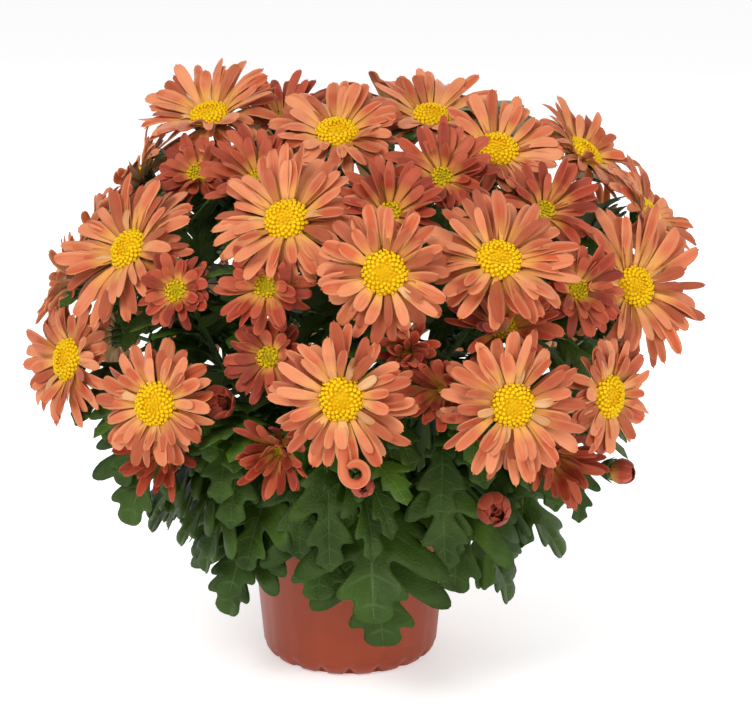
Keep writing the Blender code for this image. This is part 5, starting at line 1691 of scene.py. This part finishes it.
class CHRYSANTHEMUM_OT_inner_leaves(bpy.types.Operator):
    """Add the leaves that fill the crown and hang round the rim, clear of blooms, sprays and other leaves"""

    bl_idname = "chrysanthemum.inner_leaves"
    bl_label = "Inner leaves"

    SHARES = (0.55, 0.85, 0.35, 0.7, 0.45, 0.92, 0.62, 0.78)  # where on a stalk the inner leaves grow
    TRIES = 5
    INNER_LENGTHS = (34, 62)  # millimetres
    INNER_LIFTS = (-40, 20)  # degrees
    OUTER_LENGTHS = (34 * MM, 108 * MM)
    USUAL_LENGTH = 62 * MM
    FEET_TRIED = 150

    def execute(self, context):
        settings = context.scene.chrysanthemum_leaves
        _, branches, sprays, leaves = plant()
        draw = random.Random("inner leaves")
        meshes = [solid.data for name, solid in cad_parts.items() if not name.startswith("cutting")]
        self.standing = [
            BVHTree.FromPolygons([v.co for v in mesh.vertices], [p.vertices for p in mesh.polygons])
            for mesh in meshes
        ]
        for leaf in [leaf for grown in leaves.values() for leaf in grown]:
            self.standing.append(self.outline(leaf))
        stems = [[stem_point(turn, 6 * MM + 3.3 * MM * i) for i in range(17)] for turn in CUTTING_TURNS]
        stalks = [bezier(*steer, 17) for _, steer in branches.values()]
        for spray in sprays.values():
            stalks.append(bezier(*spray.trunk, 17))
            stalks += [bezier(*steer, 17) for steer in spray.stalks]
        bunch = Bunch()
        for tip in map(seen_point, SEEN_TIPS):
            leaf = next(filter(self.clear, self.suited(tip, stems + stalks)), None)
            if leaf:
                add_leaf(bunch, leaf, draw)
        bunch.piece("outer_leaves", "leaves", (), *green_finishes())
        bunch = Bunch()
        inner = 0
        for turn, (share, path) in enumerate(itertools.product(self.SHARES, stalks)):
            foot = along_path(path, share)
            for _ in range(self.TRIES):
                way = GOLDEN_ANGLE * turn + draw.uniform(-60, 60)
                length = draw.uniform(*self.INNER_LENGTHS) * MM
                leaf = Leaf(foot, foot + length * heading(way, draw.uniform(*self.INNER_LIFTS)))
                if inner < settings.fillers and self.clear(leaf):
                    add_leaf(bunch, leaf, draw, "plain")
                    inner += 1
                    break
        # Painted light: the leaves inside the crown get a copy of the leaf finish 1.45 times lighter, to lift
        # them out of the crown's shade.
        young = leaf_finish("leaf_young", settings, 1.45)
        bunch.piece("inner_leaves", "leaves", (), young, *green_finishes()[1:])
        return {"FINISHED"}

    def suited(self, tip, paths):
        """Leaves with this tip, best first: of the usual length, hanging outward and towards the front."""
        shortest, longest = self.OUTER_LENGTHS
        made = []
        for foot in itertools.chain.from_iterable(paths):
            away = tip - foot
            if shortest < away.length < longest:
                inward = max(0, math.hypot(foot.x, foot.y) - math.hypot(tip.x, tip.y))
                level = max(0, away.z + 0.35 * away.length) + max(0, 0.5 * (away.y + 0.3 * away.length))
                made.append((abs(away.length - self.USUAL_LENGTH) + 2 * inward + 1.5 * level, foot))
        made.sort(key=lambda row: row[0])
        return (Leaf(foot, tip) for _, foot in made[:self.FEET_TRIED])

    @staticmethod
    def outline(leaf):
        """A plain outline of the leaf past its petiole."""
        points = []
        for s in (0.4, 0.6, 0.8, 1.0):
            point, _, sideways = leaf_curve(leaf.foot, leaf.tip, s)
            half = sideways * leaf.blade * (0.27 if s < 1 else 0.05)
            points += [point - half, point, point + half]
        faces = []
        for row in range(3):
            for column in range(2):
                a = row * 3 + column
                faces.append((a, a + 1, a + 4, a + 3))
        return BVHTree.FromPolygons(points, faces)

    def clear(self, leaf):
        """Whether the leaf touches nothing that stands. If so, it stands too."""
        outline = self.outline(leaf)
        if any(tree.overlap(outline) for tree in self.standing):
            return False
        self.standing.append(outline)
        return True


class CHRYSANTHEMUM_OT_stage(bpy.types.Operator):
    """Add the pale floor, the soft studio light and the camera"""

    bl_idname = "chrysanthemum.stage"
    bl_label = "Stage"

    def execute(self, context):
        settings = context.scene.chrysanthemum_stage
        nothing_selected()
        bpy.ops.mesh.primitive_plane_add(size=40)
        floor = context.object
        floor.name = "floor"
        paint = Finish("studio_floor", 0.9, Emission_Color=(1, 1, 1, 1), Emission_Strength=settings.glow)
        floor.data.materials.append(paint.finished(settings.floor))
        self.light("key", (-0.75, -1.25, 1.55), 0.9, settings.key)
        self.light("fill", (1.3, -0.9, 0.8), 1.2, settings.fill)
        self.light("back", (0.3, 1.4, 1.3), 1.2, settings.fill)
        world = bpy.data.worlds.new("studio")
        world.use_nodes = True
        sky = world.node_tree.nodes["Background"]
        sky.inputs["Color"].default_value = (1, 1, 1, 1)
        sky.inputs["Strength"].default_value = settings.sky
        context.scene.world = world
        context.scene.view_settings.view_transform = "Standard"
        self.camera(context, settings)
        return {"FINISHED"}

    def light(self, name, place, size, power):
        bpy.ops.object.light_add(type="AREA", radius=size, location=place)
        lamp = bpy.context.object
        lamp.name = name
        lamp.data.shape = "DISK"
        lamp.data.size = size
        lamp.data.energy = power
        lamp.rotation_euler = (VIEW_TARGET - Vector(place)).to_track_quat("-Z", "Y").to_euler()

    def camera(self, context, settings):
        back = view_back(settings.pitch)
        bpy.ops.object.camera_add(location=VIEW_TARGET + back * settings.distance)
        camera = context.object
        camera.rotation_euler = (-back).to_track_quat("-Z", "Y").to_euler()
        camera.data.sensor_width = SENSOR_WIDTH
        camera.data.lens = settings.lens
        context.scene.camera = camera


class CHRYSANTHEMUM_PT_panel(bpy.types.Panel):
    """Lists the plant's settings and the operators that build it"""

    bl_idname = "CHRYSANTHEMUM_PT_panel"
    bl_label = "Pot Chrysanthemum"
    bl_space_type = "VIEW_3D"
    bl_region_type = "UI"
    bl_category = "Chrysanthemum"

    def draw(self, context):
        for name in SETTINGS:
            settings = getattr(context.scene, name)
            box = self.layout.box()
            for key in settings.bl_rna.properties.keys():
                if key not in ("rna_type", "name"):
                    box.prop(settings, key)
        for operator in OPERATORS:
            self.layout.operator(operator.bl_idname)


SETTINGS = {
    "chrysanthemum_petals": PetalSettings,
    "chrysanthemum_leaves": LeafSettings,
    "chrysanthemum_pot": PotSettings,
    "chrysanthemum_stage": StageSettings,
}
OPERATORS = (
    CHRYSANTHEMUM_OT_pot,
    CHRYSANTHEMUM_OT_soil,
    CHRYSANTHEMUM_OT_stems,
    CHRYSANTHEMUM_OT_leaves,
    CHRYSANTHEMUM_OT_large_blooms,
    CHRYSANTHEMUM_OT_side_sprays,
    CHRYSANTHEMUM_OT_inner_leaves,
    CHRYSANTHEMUM_OT_stage,
)


def register():
    for kind in (*SETTINGS.values(), *OPERATORS, CHRYSANTHEMUM_PT_panel):
        bpy.utils.register_class(kind)
    for name, kind in SETTINGS.items():
        setattr(bpy.types.Scene, name, PointerProperty(type=kind))


def unregister():
    for name in SETTINGS:
        delattr(bpy.types.Scene, name)
    for kind in reversed((*SETTINGS.values(), *OPERATORS, CHRYSANTHEMUM_PT_panel)):
        bpy.utils.unregister_class(kind)


def main():
    register()
    bpy.ops.chrysanthemum.pot()
    bpy.ops.chrysanthemum.soil()
    bpy.ops.chrysanthemum.stems()
    bpy.ops.chrysanthemum.leaves()
    bpy.ops.chrysanthemum.large_blooms()
    bpy.ops.chrysanthemum.side_sprays()
    bpy.ops.chrysanthemum.inner_leaves()
    bpy.ops.chrysanthemum.stage()


if __name__ == "__main__":
    main()
